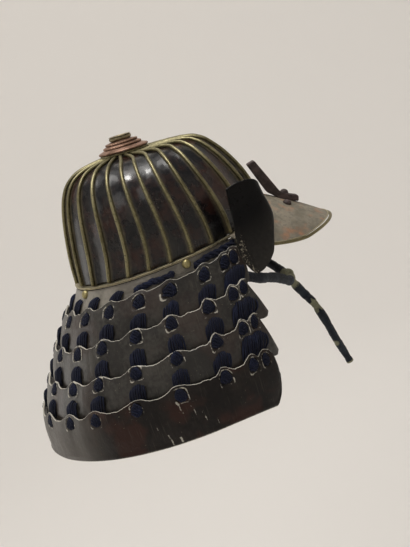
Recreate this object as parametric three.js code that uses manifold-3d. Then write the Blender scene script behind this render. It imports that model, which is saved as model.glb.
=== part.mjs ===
// Kabuto: a samurai helmet with a melon-shaped ribbed bowl, a peak, two ear flaps and a laced neck guard.
// Millimetres, +Z up. The helmet is level: the mouth of its bowl lies in the plane Z = 0, the front
// faces -Y, and the wearer's right side is at -X. The origin is the middle of the bowl's mouth.

import * as THREE from "three";
import { mergeVertices } from "three/addons/utils/BufferGeometryUtils.js";
import Module from "manifold-3d";

const wasm = await Module();
wasm.setup();

// ---------------------------------------------------------------------------------------------
// Driving dimensions
// ---------------------------------------------------------------------------------------------

const GAP = 0.3; // clearance between pieces that touch

const PLATES = 26; // plates of the bowl, with one rib on each seam
const SHELL_WALL = 2;
// A rib's section, and how far above the rim it stops, in rings of the bowl's table.
const RIB = { width: 4.2, crest: 2.8, height: 3, lift: 0.05 };
const CROWN_RING = { inner: 22, outer: 27, height: 2.4, facets: 12 };

// Level rings of the bowl from the crown down to its mouth: reach behind and in front of the origin,
// the height there, half the width, and the degrees by which the seams bunch towards the sides.
const BOWL = [
  { back: 30, backZ: 115, front: 20, frontZ: 109, side: 25, bunch: 2.5 },
  { back: 58, backZ: 113, front: 62, frontZ: 104.5, side: 49, bunch: 4 },
  { back: 74, backZ: 107, front: 78, frontZ: 98, side: 67, bunch: 5.5 },
  { back: 85, backZ: 95, front: 88.5, frontZ: 87, side: 81, bunch: 6 },
  { back: 94, backZ: 75, front: 98.5, frontZ: 71, side: 92, bunch: 6.5 },
  { back: 101.5, backZ: 50, front: 108, frontZ: 48, side: 98, bunch: 6.5 },
  { back: 107.5, backZ: 24, front: 112.5, frontZ: 24, side: 98.5, bunch: 5.5 },
  { back: 111, backZ: 0, front: 108, frontZ: 0, side: 95, bunch: 3 },
];
const RIM_TRIM = { top: -0.4, bottom: -3, inside: 2, outside: 4.2 };

// The finial stands on the crown and leans forward. Its rings from the crown up: outer radius at the
// foot and at the top, height of the upright edge, and whole height.
const FINIAL = { forward: -5.3, height: 117.4, lean: 5.7, bore: 8.5, sides: 16 };
const FINIAL_RINGS = [
  { name: "finial_base_ring", foot: 28.2, top: 22.5, edge: 2.6, height: 4.4 },
  { name: "finial_rope_ring_lower", foot: 21.6, top: 19, edge: 2.4, height: 3.2 },
  { name: "finial_rope_ring_upper", foot: 18.2, top: 14, edge: 2.2, height: 3 },
  { name: "finial_tube", foot: 12.6, top: 12.6, edge: 5.4, height: 5.4 },
];

// The peak: half its width, the line of its free edge in front of the origin, and its arch.
const VISOR = { half: 88.5, root: 78, tip: 184, square: 1.95, wall: 2, spread: 55, rise: 2 };
// The free edge is level, and rises past an angle towards the peak's ends.
const VISOR_EDGE = { level: -37.2, liftFrom: 58, lift: 20 };
const VISOR_TRIM = { reach: 0.94, thick: 4.6 };

// Level rows of the neck guard: the rim, the lacing rows of its four lames, and the bottom edge.
// Reach behind, half the width, and how far forward and how wide the guard's front ends are.
const NECK = [
  { back: 114, backZ: -3.5, side: 98, sideZ: -3.5, front: 72, frontZ: -3.5, frontSide: 74, middle: 2 },
  { back: 142, backZ: -37, side: 106, sideZ: -24, front: 72, frontZ: -19, frontSide: 91, middle: 16 },
  { back: 165, backZ: -65, side: 118, sideZ: -57, front: 70, frontZ: -53, frontSide: 100, middle: 20 },
  { back: 187, backZ: -98, side: 130, sideZ: -90, front: 67, frontZ: -89, frontSide: 108, middle: 20 },
  { back: 207, backZ: -128, side: 140, sideZ: -122, front: 63, frontZ: -130, frontSide: 113, middle: 20 },
  { back: 215, backZ: -165, side: 147, sideZ: -169, front: 55, frontZ: -182, frontSide: 116, middle: 20 },
];
const NECK_TURN = 60; // degrees that the straighter front stretch stands for

const LAME_WALL = 2;
// The band and the lames: top and bottom edge in rows of the table above, how far the plate stands
// off the guard's own surface there, the angle of its front ends, and how far their lower corners
// are rounded up, in rows.
const LAMES = [
  { name: "neck_band", top: 0, bottom: 0.8, standTop: 0, standBottom: -3.6, end: 149, round: 0 },
  { name: "neck_lame_1", top: 0.65, bottom: 1.9, standTop: 4.5, standBottom: -2, end: 149, round: 0.12 },
  { name: "neck_lame_2", top: 1.76, bottom: 2.9, standTop: 4.5, standBottom: -2, end: 147.5, round: 0.22 },
  { name: "neck_lame_3", top: 2.77, bottom: 3.9, standTop: 4.5, standBottom: -2, end: 147.5, round: 0.22 },
  { name: "neck_lame_4", top: 3.77, bottom: 5, standTop: 4.5, standBottom: 1, end: 147.5, round: 0.42 },
];
// The front ends slant. From an angle on, each plate's top edge is drawn back and its bottom edge
// forward, by these degrees at its end.
const SLANT_FROM = 144;
const SLANTS = [
  { top: 0, bottom: 0 },
  { top: -1, bottom: 0 },
  { top: -3, bottom: 7 },
  { top: -3, bottom: 6.5 },
  { top: -1.5, bottom: 1.5 },
];
const STRAIGHT_FROM = 100; // degrees past which the plates hardly curve
const FRONT_SHARES = [0.35, 0.75, 1]; // facets between the last lace and the front end
const CORNER_TURN = 6.5; // degrees over which a lower corner is rounded
// A lame's wavy top edge: how many rows it rises at a lace, and the degrees it falls in.
const SCALLOP = { rise: 0.06, turn: 7 };

// Angle of each lacing column from the middle of the back, at the first lame and at the last, and its
// width as a share of the full width.
const LACES = [
  { first: 0, last: 0, share: 1 },
  { first: 24, last: 21.8, share: 1 },
  { first: 41.7, last: 38.3, share: 1 },
  { first: 58.5, last: 51.5, share: 1 },
  { first: 75, last: 68, share: 1 },
  { first: 91, last: 83.3, share: 1 },
  { first: 117, last: 108.5, share: 1 },
  { first: 134, last: 130.2, share: 0.54 },
  { first: 141.5, last: 140, share: 0.54 },
];
// A lace's width where it knots and where it drops, the row it starts at, and its lift off the plates.
const LACE = { knot: 10.5, knotHigh: 12, drop: 15, thick: 1.6, start: 0.24, lift: 1 };
// The slot it comes out of, its place above the lame's row, and the flat land on each side of it.
const SLOT = { wide: 11.6, high: 5.2, row: -0.09, land: 0.7 };

// Sections of the right ear flap, from its root by the first lame round the fold to its free edge,
// and how far each one bows back between its ends.
const EAR = [
  { side: 93, forward: 72, top: 0, bottom: -38, bow: 0 },
  { side: 94, forward: 92, top: 22, bottom: -30, bow: 0 },
  { side: 97, forward: 105, top: 40, bottom: -14, bow: 0 },
  { side: 102, forward: 108.7, top: 44, bottom: -2, bow: 0 },
  { side: 107, forward: 106, top: 49.5, bottom: -10, bow: 0 },
  { side: 111, forward: 99, top: 52.5, bottom: -29, bow: 1 },
  { side: 113, forward: 88, top: 53.5, bottom: -41, bow: 4.5 },
  { side: 114, forward: 77, top: 51.5, bottom: -42, bow: 9 },
];
const EAR_BOW_SAG = 1.9; // over 1, the bow is deepest below the middle
const EAR_WALL = 2;

// Outline of the crest holder's bar in the middle plane: forward, up.
const HOLDER = [
  { forward: 114.6, up: 50.2 },
  { forward: 124.5, up: 52.5 },
  { forward: 139, up: 8.5 },
  { forward: 147, up: 2.5 },
  { forward: 157.3, up: -2.8 },
  { forward: 155.5, up: -9.5 },
  { forward: 137, up: 2.2 },
  { forward: 128.4, up: 12 },
];
const HOLDER_WIDE = 13;
const HOLDER_RIVET = { radius: 4.8, rise: 4, facets: 8, seat: 0.8 };
const FOOT_RIVET = { forward: 143.6, up: 5.05, lean: 36.9 };
const FLANK_RIVET = { angle: 17, reach: 0.375 };
const BAND_RIVET = { radius: 4.2, rise: 3.4, facets: 8, seat: 0.6 };
const BAND_RIVETS = [
  { angle: 30, drop: 0.14 },
  { angle: 103.6, drop: 0.22 },
];

// The padded chin cord: half of its loop, from the knot under the chin back along the left side and
// round inside the neck band to the nape, as side, forward, up. The right half is its mirror.
const CORD = { diameter: 11, sides: 8, loopSteps: 29, tailSteps: 7 };
const LOOP_HALF = [
  [8.3, 113, -88],
  [12.5, 113, -88],
  [18.5, 112.6, -87.5],
  [25, 111.1, -85.8],
  [31.5, 108.3, -82.5],
  [42, 102.3, -75.4],
  [54.5, 94.8, -67.8],
  [68, 86.5, -61.2],
  [79.5, 79, -55.5],
  [86, 69, -48.5],
  [88, 57, -39],
  [88, 42, -28.5],
  [88, 26, -20.5],
  [88, 8.2, -16.6],
  [89.6, -9.6, -17.1],
  [88, -39.9, -19.2],
  [76.8, -71.2, -21.9],
  [57.2, -96.5, -24.7],
  [31.8, -112, -26.8],
  [0, -117.8, -27.7],
];
// The knot's barrel lies across the middle, and the free end leaves a flat of it.
const KNOT = { radius: 8, half: 8, forward: 113, up: -88, facets: 8, flat: 67.5 };
const TAIL = [
  [0, 120.2, -105.5],
  [-1, 124.8, -116],
  [-2, 129.3, -126.2],
  [-3, 134, -143],
  [-4, 137, -160],
  [-5, 139.5, -178],
  [-5, 143.3, -198],
  [-5, 146, -212.5],
];
// side: the route's point at which the left and right keepers stand
const KEEPER = { inner: 6.8, outer: 8.3, wide: 8, facets: 8, side: 13 };

// ---------------------------------------------------------------------------------------------
// Shape helpers
// ---------------------------------------------------------------------------------------------

const radians = THREE.MathUtils.degToRad;
const lerp = THREE.MathUtils.lerp;

// The value of a table's column between its rows, on a smooth curve through them.
function sample(table, column, row) {
  const last = table.length - 1;
  const i = THREE.MathUtils.clamp(Math.floor(row), 0, last - 1);
  const t = row - i;
  const value = (n) => table[n][column];
  const [b, c] = [value(i), value(i + 1)];
  const slopeB = i === 0 ? c - b : (c - value(i - 1)) / 2;
  const slopeC = i + 1 === last ? c - b : (value(i + 2) - b) / 2;
  const h = t * t * (3 - 2 * t);
  return b * (1 - h) + c * h + slopeB * t * (1 - t) ** 2 - slopeC * (1 - t) * t ** 2;
}

// A point of the bowl's outer surface: angle in degrees from the middle of the back, rising towards
// the wearer's left, and level in rows of the table.
function bowlPoint(angle, level) {
  const [c, s] = [Math.cos(radians(angle)), Math.sin(radians(angle))];
  const get = (column) => sample(BOWL, column, level);
  const middle = (get("back") - get("front")) / 2;
  const y = middle + ((get("back") + get("front")) / 2) * c;
  const z = (get("backZ") + get("frontZ")) / 2 + ((get("backZ") - get("frontZ")) / 2) * c;
  return new THREE.Vector3(get("side") * s, y, z);
}

// A point of the neck guard's own surface, in the same terms. Past the side it runs nearly straight
// to its front ends.
function neckPoint(angle, row) {
  const turn = Math.abs(angle);
  const get = (column) => sample(NECK, column, row);
  const middle = get("middle");
  const sign = Math.sign(angle);
  if (turn <= 90) {
    const [c, s] = [Math.cos(radians(turn)), Math.sin(radians(turn))];
    const z = lerp(get("sideZ"), get("backZ"), c * c);
    return new THREE.Vector3(sign * get("side") * s, middle + (get("back") - middle) * c, z);
  }
  const d = (turn - 90) / NECK_TURN;
  const x = lerp(get("side"), get("frontSide"), d ** 1.8);
  const y = lerp(middle, -get("front"), d);
  return new THREE.Vector3(sign * x, y, lerp(get("sideZ"), get("frontZ"), d * d));
}

// The outward normal of a surface at (u, v), from its slopes there.
function normalOf(surface, u, v) {
  const du = surface(u + 0.5, v).sub(surface(u - 0.5, v));
  const dv = surface(u, v + 0.02).sub(surface(u, v - 0.02));
  return du.cross(dv).normalize();
}

// A point at a height over a surface.
function over(surface, u, v, height) {
  return surface(u, v).addScaledVector(normalOf(surface, u, v), height);
}

function geometryOf(points, triangles) {
  const geometry = new THREE.BufferGeometry();
  const numbers = points.flatMap((p) => p.toArray());
  geometry.setAttribute("position", new THREE.Float32BufferAttribute(numbers, 3));
  geometry.setIndex(triangles);
  return geometry;
}

// A closed wall between two grids of points of the same size, outer[row][column] and
// inner[row][column]. A ring's last column meets its first.
function wallBetween(outer, inner, ring = false) {
  const rows = outer.length;
  const columns = outer[0].length;
  const triangles = [];
  const at = (side, i, j) => side * rows * columns + i * columns + (j % columns);
  const quad = (a, b, c, d) => triangles.push(a, b, c, a, c, d);
  const spans = ring ? columns : columns - 1;
  for (let j = 0; j < spans; j++) {
    for (let i = 0; i < rows - 1; i++) {
      quad(at(0, i, j), at(0, i, j + 1), at(0, i + 1, j + 1), at(0, i + 1, j));
      quad(at(1, i, j), at(1, i + 1, j), at(1, i + 1, j + 1), at(1, i, j + 1));
    }
    quad(at(0, 0, j), at(1, 0, j), at(1, 0, j + 1), at(0, 0, j + 1));
    quad(at(0, rows - 1, j), at(0, rows - 1, j + 1), at(1, rows - 1, j + 1), at(1, rows - 1, j));
  }
  if (!ring) {
    const end = columns - 1;
    for (let i = 0; i < rows - 1; i++) {
      quad(at(0, i, 0), at(0, i + 1, 0), at(1, i + 1, 0), at(1, i, 0));
      quad(at(0, i, end), at(1, i, end), at(1, i + 1, end), at(0, i + 1, end));
    }
  }
  return geometryOf([...outer.flat(), ...inner.flat()], triangles);
}

// The faces of a closed bar through sections that each hold the same number of points.
function barThrough(sections) {
  const sides = sections[0].length;
  const triangles = [];
  for (let i = 0; i < sections.length - 1; i++) {
    for (let j = 0; j < sides; j++) {
      const [a, b] = [i * sides + j, i * sides + ((j + 1) % sides)];
      triangles.push(a, b, b + sides, a, b + sides, a + sides);
    }
  }
  const end = (sections.length - 1) * sides;
  for (let j = 1; j < sides - 1; j++) {
    triangles.push(0, j + 1, j);
    triangles.push(end, end + j, end + j + 1);
  }
  return geometryOf(sections.flat(), triangles);
}

function solidOf(geometry) {
  const bare = geometry.clone();
  bare.deleteAttribute("normal");
  bare.deleteAttribute("uv");
  const merged = mergeVertices(bare, 1e-4);
  return new wasm.Manifold(
    new wasm.Mesh({
      numProp: 3,
      vertProperties: merged.attributes.position.array,
      triVerts: new Uint32Array(merged.index.array),
    }),
  );
}

function geometryFrom(solid) {
  const mesh = solid.getMesh();
  const points = new Float32Array(mesh.numVert * 3);
  for (let i = 0; i < mesh.numVert; i++) {
    points.set(mesh.vertProperties.subarray(i * mesh.numProp, i * mesh.numProp + 3), i * 3);
  }
  const geometry = new THREE.BufferGeometry();
  geometry.setAttribute("position", new THREE.BufferAttribute(points, 3));
  geometry.setIndex(new THREE.BufferAttribute(new Uint32Array(mesh.triVerts), 1));
  return geometry;
}

const helmet = new THREE.Group();

function add(name, geometry, material) {
  const mesh = new THREE.Mesh(geometry, material);
  mesh.name = name;
  helmet.add(mesh);
  return mesh;
}

function finish(color, roughness, metalness) {
  return new THREE.MeshStandardMaterial({ color, roughness, metalness });
}

const finishes = {
  bowl: () => finish(0x3a3434, 0.35, 0.2),
  brass: () => finish(0x8d8560, 0.45, 0.8),
  gilt: () => finish(0xb9ac7c, 0.4, 0.9),
  copper: () => finish(0x6b5040, 0.5, 0.8),
  iron: () => finish(0x4a3f3c, 0.7, 0.5),
  leather: () => finish(0x8f8670, 0.8, 0),
  lacquer: () => finish(0x6a6258, 0.4, 0.1),
  blackLacquer: () => finish(0x1d1d22, 0.3, 0.1),
  silk: () => finish(0x232846, 0.9, 0),
  cord: () => finish(0x2a3250, 0.95, 0),
};

// ---------------------------------------------------------------------------------------------
// Bowl: a riveted shell of plates, the ribs on their seams, and the trim round the mouth
// ---------------------------------------------------------------------------------------------

// Angle of a seam at a level. The seams bunch a little towards the sides.
function seamAngle(k, level) {
  const even = ((k + 0.5) * 360) / PLATES;
  return even + sample(BOWL, "bunch", level) * Math.sin(radians(2 * even));
}

const seamPoint = (k, level) => bowlPoint(seamAngle(k, level), level);

function bowlShell() {
  const ring = (level, height) =>
    Array.from({ length: PLATES }, (_, k) => over(bowlPoint, seamAngle(k, level), level, height));
  const grid = (height) => BOWL.map((_, level) => ring(level, height));
  return wallBetween(grid(0), grid(-SHELL_WALL), true);
}

// One rib: a bar of trapezium section that follows its seam from the crown to the rim.
function rib(k) {
  const sections = BOWL.map((_, ring) => {
    const level = Math.min(ring, BOWL.length - 1 - RIB.lift);
    const foot = seamPoint(k, level);
    const out = normalOf(bowlPoint, seamAngle(k, level), level);
    const down = seamPoint(k, level + 0.1).sub(seamPoint(k, level - 0.1));
    const across = out.clone().cross(down).normalize();
    const corner = (side, height) =>
      foot.clone().addScaledVector(across, side).addScaledVector(out, height);
    return [
      corner(-RIB.width / 2, GAP),
      corner(RIB.width / 2, GAP),
      corner(RIB.crest / 2, GAP + RIB.height),
      corner(-RIB.crest / 2, GAP + RIB.height),
    ];
  });
  return barThrough(sections);
}

// A ring of rectangular section round the finial's axis.
function ringGeometry(inner, outer, height, sides) {
  const corners = [
    [inner, 0],
    [outer, 0],
    [outer, height],
    [inner, height],
    [inner, 0],
  ];
  const profile = corners.map(([r, z]) => new THREE.Vector2(r, z));
  return new THREE.LatheGeometry(profile, sides).rotateX(Math.PI / 2);
}

const finialPlace = new THREE.Matrix4()
  .makeRotationX(radians(FINIAL.lean))
  .setPosition(0, -FINIAL.forward, FINIAL.height);

function bowlRibs() {
  const ring = ringGeometry(CROWN_RING.inner, CROWN_RING.outer, CROWN_RING.height, CROWN_RING.facets);
  ring.translate(0, 0, -CROWN_RING.height - GAP).applyMatrix4(finialPlace);
  let solid = solidOf(ring);
  for (let k = 0; k < PLATES; k++) {
    solid = solid.add(solidOf(rib(k)));
  }
  return geometryFrom(solid);
}

function rimTrim() {
  const rim = BOWL.length - 1;
  const at = (k, out, z) => over(bowlPoint, seamAngle(k, rim), rim, out).setZ(z);
  const ringOf = (out, z) => Array.from({ length: PLATES }, (_, k) => at(k, out, z));
  const outer = [ringOf(RIM_TRIM.outside, RIM_TRIM.top), ringOf(RIM_TRIM.outside, RIM_TRIM.bottom)];
  const inner = [ringOf(-RIM_TRIM.inside, RIM_TRIM.top), ringOf(-RIM_TRIM.inside, RIM_TRIM.bottom)];
  return wallBetween(outer, inner, true);
}

add("bowl_shell", bowlShell(), finishes.bowl());
add("bowl_ribs", bowlRibs(), finishes.brass());
add("bowl_rim_trim", rimTrim(), finishes.gilt());

// ---------------------------------------------------------------------------------------------
// Finial: four rings stacked round the hole in the crown
// ---------------------------------------------------------------------------------------------

function finialRing(ring) {
  const corners = [
    [FINIAL.bore, 0],
    [ring.foot, 0],
    [ring.foot, ring.edge],
    [ring.top, ring.height],
    [FINIAL.bore, ring.height],
    [FINIAL.bore, 0],
  ].filter(([r, z], i, all) => i === 0 || r !== all[i - 1][0] || z !== all[i - 1][1]);
  const profile = corners.map(([r, z]) => new THREE.Vector2(r, z));
  return new THREE.LatheGeometry(profile, FINIAL.sides).rotateX(Math.PI / 2);
}

const finial = new THREE.Group();
finial.applyMatrix4(finialPlace);
helmet.add(finial);
let stack = 0;
for (const ring of FINIAL_RINGS) {
  const mesh = add(ring.name, finialRing(ring), finishes.copper());
  mesh.position.z = stack;
  finial.add(mesh);
  stack += ring.height + GAP;
}

// ---------------------------------------------------------------------------------------------
// Peak: a leather-faced iron plate with a gilt rim, and the crest holder riveted on it
// ---------------------------------------------------------------------------------------------

// A point of the peak's lower surface: angle in degrees from the middle, rising towards the wearer's
// left, and reach from 0 at the bowl to 1 at the free edge.
function visorPoint(angle, reach) {
  const [c, s] = [Math.cos(radians(angle)), Math.sin(radians(angle))];
  const power = 2 / VISOR.square;
  const past = Math.max(0, Math.abs(angle) - VISOR_EDGE.liftFrom);
  const sideLift = (VISOR_EDGE.lift * past) / (90 - VISOR_EDGE.liftFrom);
  const edge = new THREE.Vector3(
    VISOR.half * Math.sign(s) * Math.abs(s) ** power,
    -lerp(VISOR.root, VISOR.tip, Math.max(c, 0) ** power),
    VISOR_EDGE.level + sideLift,
  );
  const level = BOWL.length - 1 - 0.6 * c * c;
  const root = over(bowlPoint, 180 - (angle * VISOR.spread) / 90, level, RIB.height + 2 * GAP + VISOR.wall);
  const point = root.lerp(edge, reach);
  point.z += VISOR.rise * c * Math.sin(Math.PI * reach);
  return point;
}

const VISOR_ANGLES = [-90, -78, -64, -50, -37, -24, -12, 0, 12, 24, 37, 50, 64, 78, 90];
const VISOR_REACHES = [0, 0.25, 0.5, 0.75, 0.93];

// The peak's upward normal.
function visorNormal(angle, reach) {
  const turn = THREE.MathUtils.clamp(angle, -88, 88);
  const along = THREE.MathUtils.clamp(reach, 0.04, 0.96);
  return normalOf(visorPoint, turn, along).negate();
}

const overVisor = (angle, reach, height) =>
  visorPoint(angle, reach).addScaledVector(visorNormal(angle, reach), height);

function visor() {
  const grid = (height) =>
    VISOR_REACHES.map((reach) => VISOR_ANGLES.map((angle) => overVisor(angle, reach, height)));
  return wallBetween(grid(0), grid(VISOR.wall));
}

// The rim: a bar of square section along the free edge.
function visorTrim() {
  const sections = VISOR_ANGLES.map((angle) => {
    const out = visorNormal(angle, 1);
    const inner = visorPoint(angle, VISOR_TRIM.reach).addScaledVector(out, VISOR.wall / 2);
    const outer = visorPoint(angle, 1).addScaledVector(out, VISOR.wall / 2);
    const half = VISOR_TRIM.thick / 2;
    return [
      inner.clone().addScaledVector(out, half),
      outer.clone().addScaledVector(out, half),
      outer.clone().addScaledVector(out, -half),
      inner.clone().addScaledVector(out, -half),
    ];
  });
  return barThrough(sections);
}

function holder() {
  const outline = new THREE.Shape(HOLDER.map((p) => new THREE.Vector2(p.forward, p.up)));
  const bar = new THREE.ExtrudeGeometry(outline, { depth: HOLDER_WIDE, bevelEnabled: false });
  // The outline's first axis turns to -Y, its second to +Z, and the depth runs along X.
  bar.translate(0, 0, -HOLDER_WIDE / 2);
  return bar.applyMatrix4(new THREE.Matrix4().set(0, 0, -1, 0, -1, 0, 0, 0, 0, 1, 0, 0, 0, 0, 0, 1));
}

// A domed rivet head that stands on the surface at a point, along its normal.
function rivet(name, point, normal, size, material) {
  const steps = [0, 0.6, 1];
  const profile = steps.map((t) => new THREE.Vector2(size.radius * Math.sqrt(1 - t * t), size.rise * t));
  profile.unshift(new THREE.Vector2(0, 0));
  const mesh = add(name, new THREE.LatheGeometry(profile, size.facets), material);
  mesh.position.copy(point).addScaledVector(normal, size.seat);
  mesh.quaternion.setFromUnitVectors(new THREE.Vector3(0, 1, 0), normal);
  return mesh;
}

add("visor", visor(), finishes.leather());
add("visor_rim", visorTrim(), finishes.gilt());
add("crest_holder", holder(), finishes.iron());
const footPoint = new THREE.Vector3(0, -FOOT_RIVET.forward, FOOT_RIVET.up);
const footNormal = new THREE.Vector3(0, 0, 1).applyAxisAngle(
  new THREE.Vector3(1, 0, 0),
  radians(FOOT_RIVET.lean),
);
rivet("crest_holder_rivet_foot", footPoint, footNormal, HOLDER_RIVET, finishes.iron());
for (const [side, hand] of [
  [-1, "right"],
  [1, "left"],
]) {
  const angle = side * FLANK_RIVET.angle;
  const point = overVisor(angle, FLANK_RIVET.reach, VISOR.wall);
  const normal = visorNormal(angle, FLANK_RIVET.reach);
  rivet(`crest_holder_rivet_${hand}`, point, normal, HOLDER_RIVET, finishes.iron());
}

// ---------------------------------------------------------------------------------------------
// Neck guard: the band under the rim, four lames, and the lacing that hangs them
// ---------------------------------------------------------------------------------------------

const LAST_LAME = LAMES.length - 1;
const laceAngle = (lace, row) => lerp(lace.first, lace.last, (row - 1) / (LAST_LAME - 1));

// Rise of the wavy top edge: highest over each lace.
function scallopAt(k, angle) {
  const turn = Math.abs(angle);
  const nearest = Math.min(...LACES.map((lace) => Math.abs(laceAngle(lace, k) - turn)));
  return SCALLOP.rise * Math.cos(Math.min(nearest / SCALLOP.turn, 1) * Math.PI);
}

// Rows of a plate's top and bottom edge at an angle. The band's top edge is level.
function edgeRows(k, angle) {
  const lame = LAMES[k];
  const corner = Math.max(0, (Math.abs(angle) - lame.end) / CORNER_TURN + 1);
  return {
    top: lame.top - (k === 0 ? 0 : scallopAt(k, angle)),
    bottom: lame.bottom - lame.round * corner ** 2,
  };
}

// A point of a plate: its angle, its drop from 0 at the top edge to 1 at the bottom edge, and its
// height over the plate's outer face. The plate is straight from edge to edge.
function platePoint(k, angle, drop, height) {
  const lame = LAMES[k];
  const { top, bottom } = edgeRows(k, angle);
  const share = Math.max(0, (Math.abs(angle) - SLANT_FROM) / (lame.end - SLANT_FROM));
  const slanted = (degrees) => angle + Math.sign(angle) * share * degrees;
  const high = over(neckPoint, slanted(SLANTS[k].top), top, lame.standTop + height);
  const low = over(neckPoint, slanted(SLANTS[k].bottom), bottom, lame.standBottom + height);
  return high.lerp(low, drop);
}

const plateHigh = (k, angle) => platePoint(k, angle, 0, 0).distanceTo(platePoint(k, angle, 1, 0));

function dropOf(k, angle, row) {
  const { top, bottom } = edgeRows(k, angle);
  return (row - top) / (bottom - top);
}

// Axes of a plate at a place on it: across, down and out.
function plateAxes(k, angle, drop) {
  const down = platePoint(k, angle, 1, 0).sub(platePoint(k, angle, 0, 0)).normalize();
  const along = platePoint(k, angle + 0.5, drop, 0).sub(platePoint(k, angle - 0.5, drop, 0));
  const out = along.cross(down).normalize();
  const across = new THREE.Vector3().crossVectors(down, out);
  return { across, down, out };
}

// Half the facet that carries a lace's slot, in degrees.
function slotTurn(k, lace, angle) {
  const perDegree = neckPoint(angle + 0.5, k).distanceTo(neckPoint(angle - 0.5, k));
  return (lace.share * SLOT.wide) / 2 / perDegree + SLOT.land / perDegree;
}

// The angles between a plate's facets: one facet for each lace, and two between laces, or one on the
// straight front stretch.
function lameAngles(k) {
  const row = Math.max(k, 0.5);
  const half = [];
  LACES.forEach((lace) => {
    const angle = laceAngle(lace, row);
    const turn = slotTurn(row, lace, angle);
    if (half.length && angle < STRAIGHT_FROM) {
      half.push((half.at(-1) + angle - turn) / 2);
    }
    if (half.length) {
      half.push(angle - turn);
    }
    half.push(angle + turn);
  });
  const last = half.at(-1);
  const { end } = LAMES[k];
  half.push(...FRONT_SHARES.map((share) => lerp(last, end, share)));
  return [...half.map((a) => -a).reverse(), ...half];
}

function lamePlate(k) {
  const angles = lameAngles(k);
  const grid = (height) => [0, 1].map((drop) => angles.map((angle) => platePoint(k, angle, drop, height)));
  return wallBetween(grid(0), grid(-LAME_WALL));
}

// Where a lace's slot lies on a lame: its angle, and the drop of its middle.
function slotPlace(lace, k, side) {
  const angle = side * laceAngle(lace, k);
  return { angle, drop: dropOf(k, angle, k + SLOT.row) };
}

function slotCutter(lace, k, side) {
  const { angle, drop } = slotPlace(lace, k, side);
  const { across, down, out } = plateAxes(k, angle, drop);
  const box = new THREE.BoxGeometry(SLOT.wide * lace.share, SLOT.high, 3 * LAME_WALL);
  const place = new THREE.Matrix4().makeBasis(across, down, out);
  return box.applyMatrix4(place.setPosition(platePoint(k, angle, drop, -LAME_WALL / 2)));
}

// Each side of each lacing column. The middle column has one side only.
const LACE_SIDES = LACES.flatMap((lace, i) =>
  i === 0
    ? [{ lace, side: 1, name: "lacing_back" }]
    : [
        { lace, side: -1, name: `lacing_right_${i}` },
        { lace, side: 1, name: `lacing_left_${i}` },
      ],
);

function slottedLame(k) {
  let solid = solidOf(lamePlate(k));
  for (const { lace, side } of LACE_SIDES) {
    solid = solid.subtract(solidOf(slotCutter(lace, k, side)));
  }
  return geometryFrom(solid);
}

LAMES.forEach((lame, k) => {
  const geometry = k === 0 ? lamePlate(k) : slottedLame(k);
  add(lame.name, geometry, finishes.lacquer());
});

// One column of lacing: a flat band that leaves the neck band, passes behind each lame's top edge,
// comes out through its slot, and ends on the last lame.
function lacing(lace, side) {
  const sections = [];
  const put = (k, angle, drop, height, width) => {
    const { across, out } = plateAxes(k, angle, drop);
    const centre = platePoint(k, angle, drop, height);
    const corner = (u, v) => centre.clone().addScaledVector(across, u).addScaledVector(out, v);
    const half = (width * lace.share) / 2;
    sections.push([corner(-half, LACE.thick), corner(half, LACE.thick), corner(half, 0), corner(-half, 0)]);
  };
  const first = side * laceAngle(lace, LACE.start);
  put(0, first, dropOf(0, first, LACE.start), LACE.lift, LACE.drop);
  for (let k = 1; k <= LAST_LAME; k++) {
    const { angle, drop } = slotPlace(lace, k, side);
    const high = plateHigh(k, angle);
    const passes = (SLOT.high / 2 - GAP) / high;
    const hidden = edgeRows(k, angle).top;
    put(k - 1, angle, dropOf(k - 1, angle, hidden), LACE.lift, LACE.drop);
    put(k, angle, drop - passes, -LAME_WALL - LACE.lift - LACE.thick, LACE.knot);
    put(k, angle, drop + passes, LACE.lift, LACE.knot);
    if (k === LAST_LAME) {
      put(k, angle, drop + (SLOT.high / 2 + LACE.knotHigh) / high, LACE.lift, LACE.knot);
    }
  }
  return barThrough(sections);
}

for (const { lace, side, name } of LACE_SIDES) {
  add(name, lacing(lace, side), finishes.silk());
}

for (const [side, hand] of [
  [-1, "right"],
  [1, "left"],
]) {
  BAND_RIVETS.forEach(({ angle, drop }, i) => {
    const point = platePoint(0, side * angle, drop, 0);
    const { out } = plateAxes(0, side * angle, drop);
    rivet(`neck_band_rivet_${hand}_${i + 1}`, point, out, BAND_RIVET, finishes.brass());
  });
}

// ---------------------------------------------------------------------------------------------
// Ear flaps: the front ends of the guard, folded outwards and back
// ---------------------------------------------------------------------------------------------

function ear(side) {
  const across = 10;
  const rows = [0, 0.33, 0.67, 1];
  const get = (column, t) => sample(EAR, column, t);
  const surface = (t, v) => {
    const z = lerp(get("top", t), get("bottom", t), v);
    const forward = get("forward", t) - get("bow", t) * Math.sin(Math.PI * v ** EAR_BOW_SAG);
    return new THREE.Vector3(side * get("side", t), -forward, z);
  };
  const stations = Array.from({ length: across + 1 }, (_, j) => (j * (EAR.length - 1)) / across);
  const grid = (height) =>
    rows.map((v) =>
      stations.map((t) => {
        const along = surface(t + 0.05, v).sub(surface(t - 0.05, v)).setZ(0).normalize();
        const out = new THREE.Vector3(along.y, -along.x, 0).multiplyScalar(side);
        return surface(t, v).addScaledVector(out, height);
      }),
    );
  return side < 0 ? wallBetween(grid(0), grid(-EAR_WALL)) : wallBetween(grid(-EAR_WALL), grid(0));
}

add("ear_right", ear(-1), finishes.blackLacquer());
add("ear_left", ear(1), finishes.blackLacquer());

// ---------------------------------------------------------------------------------------------
// Chin cord: a padded fabric tube in one loop, its knot, its free end, and the keepers that hold it
// ---------------------------------------------------------------------------------------------

const place = ([side, forward, up]) => new THREE.Vector3(side, -forward, up);

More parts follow.
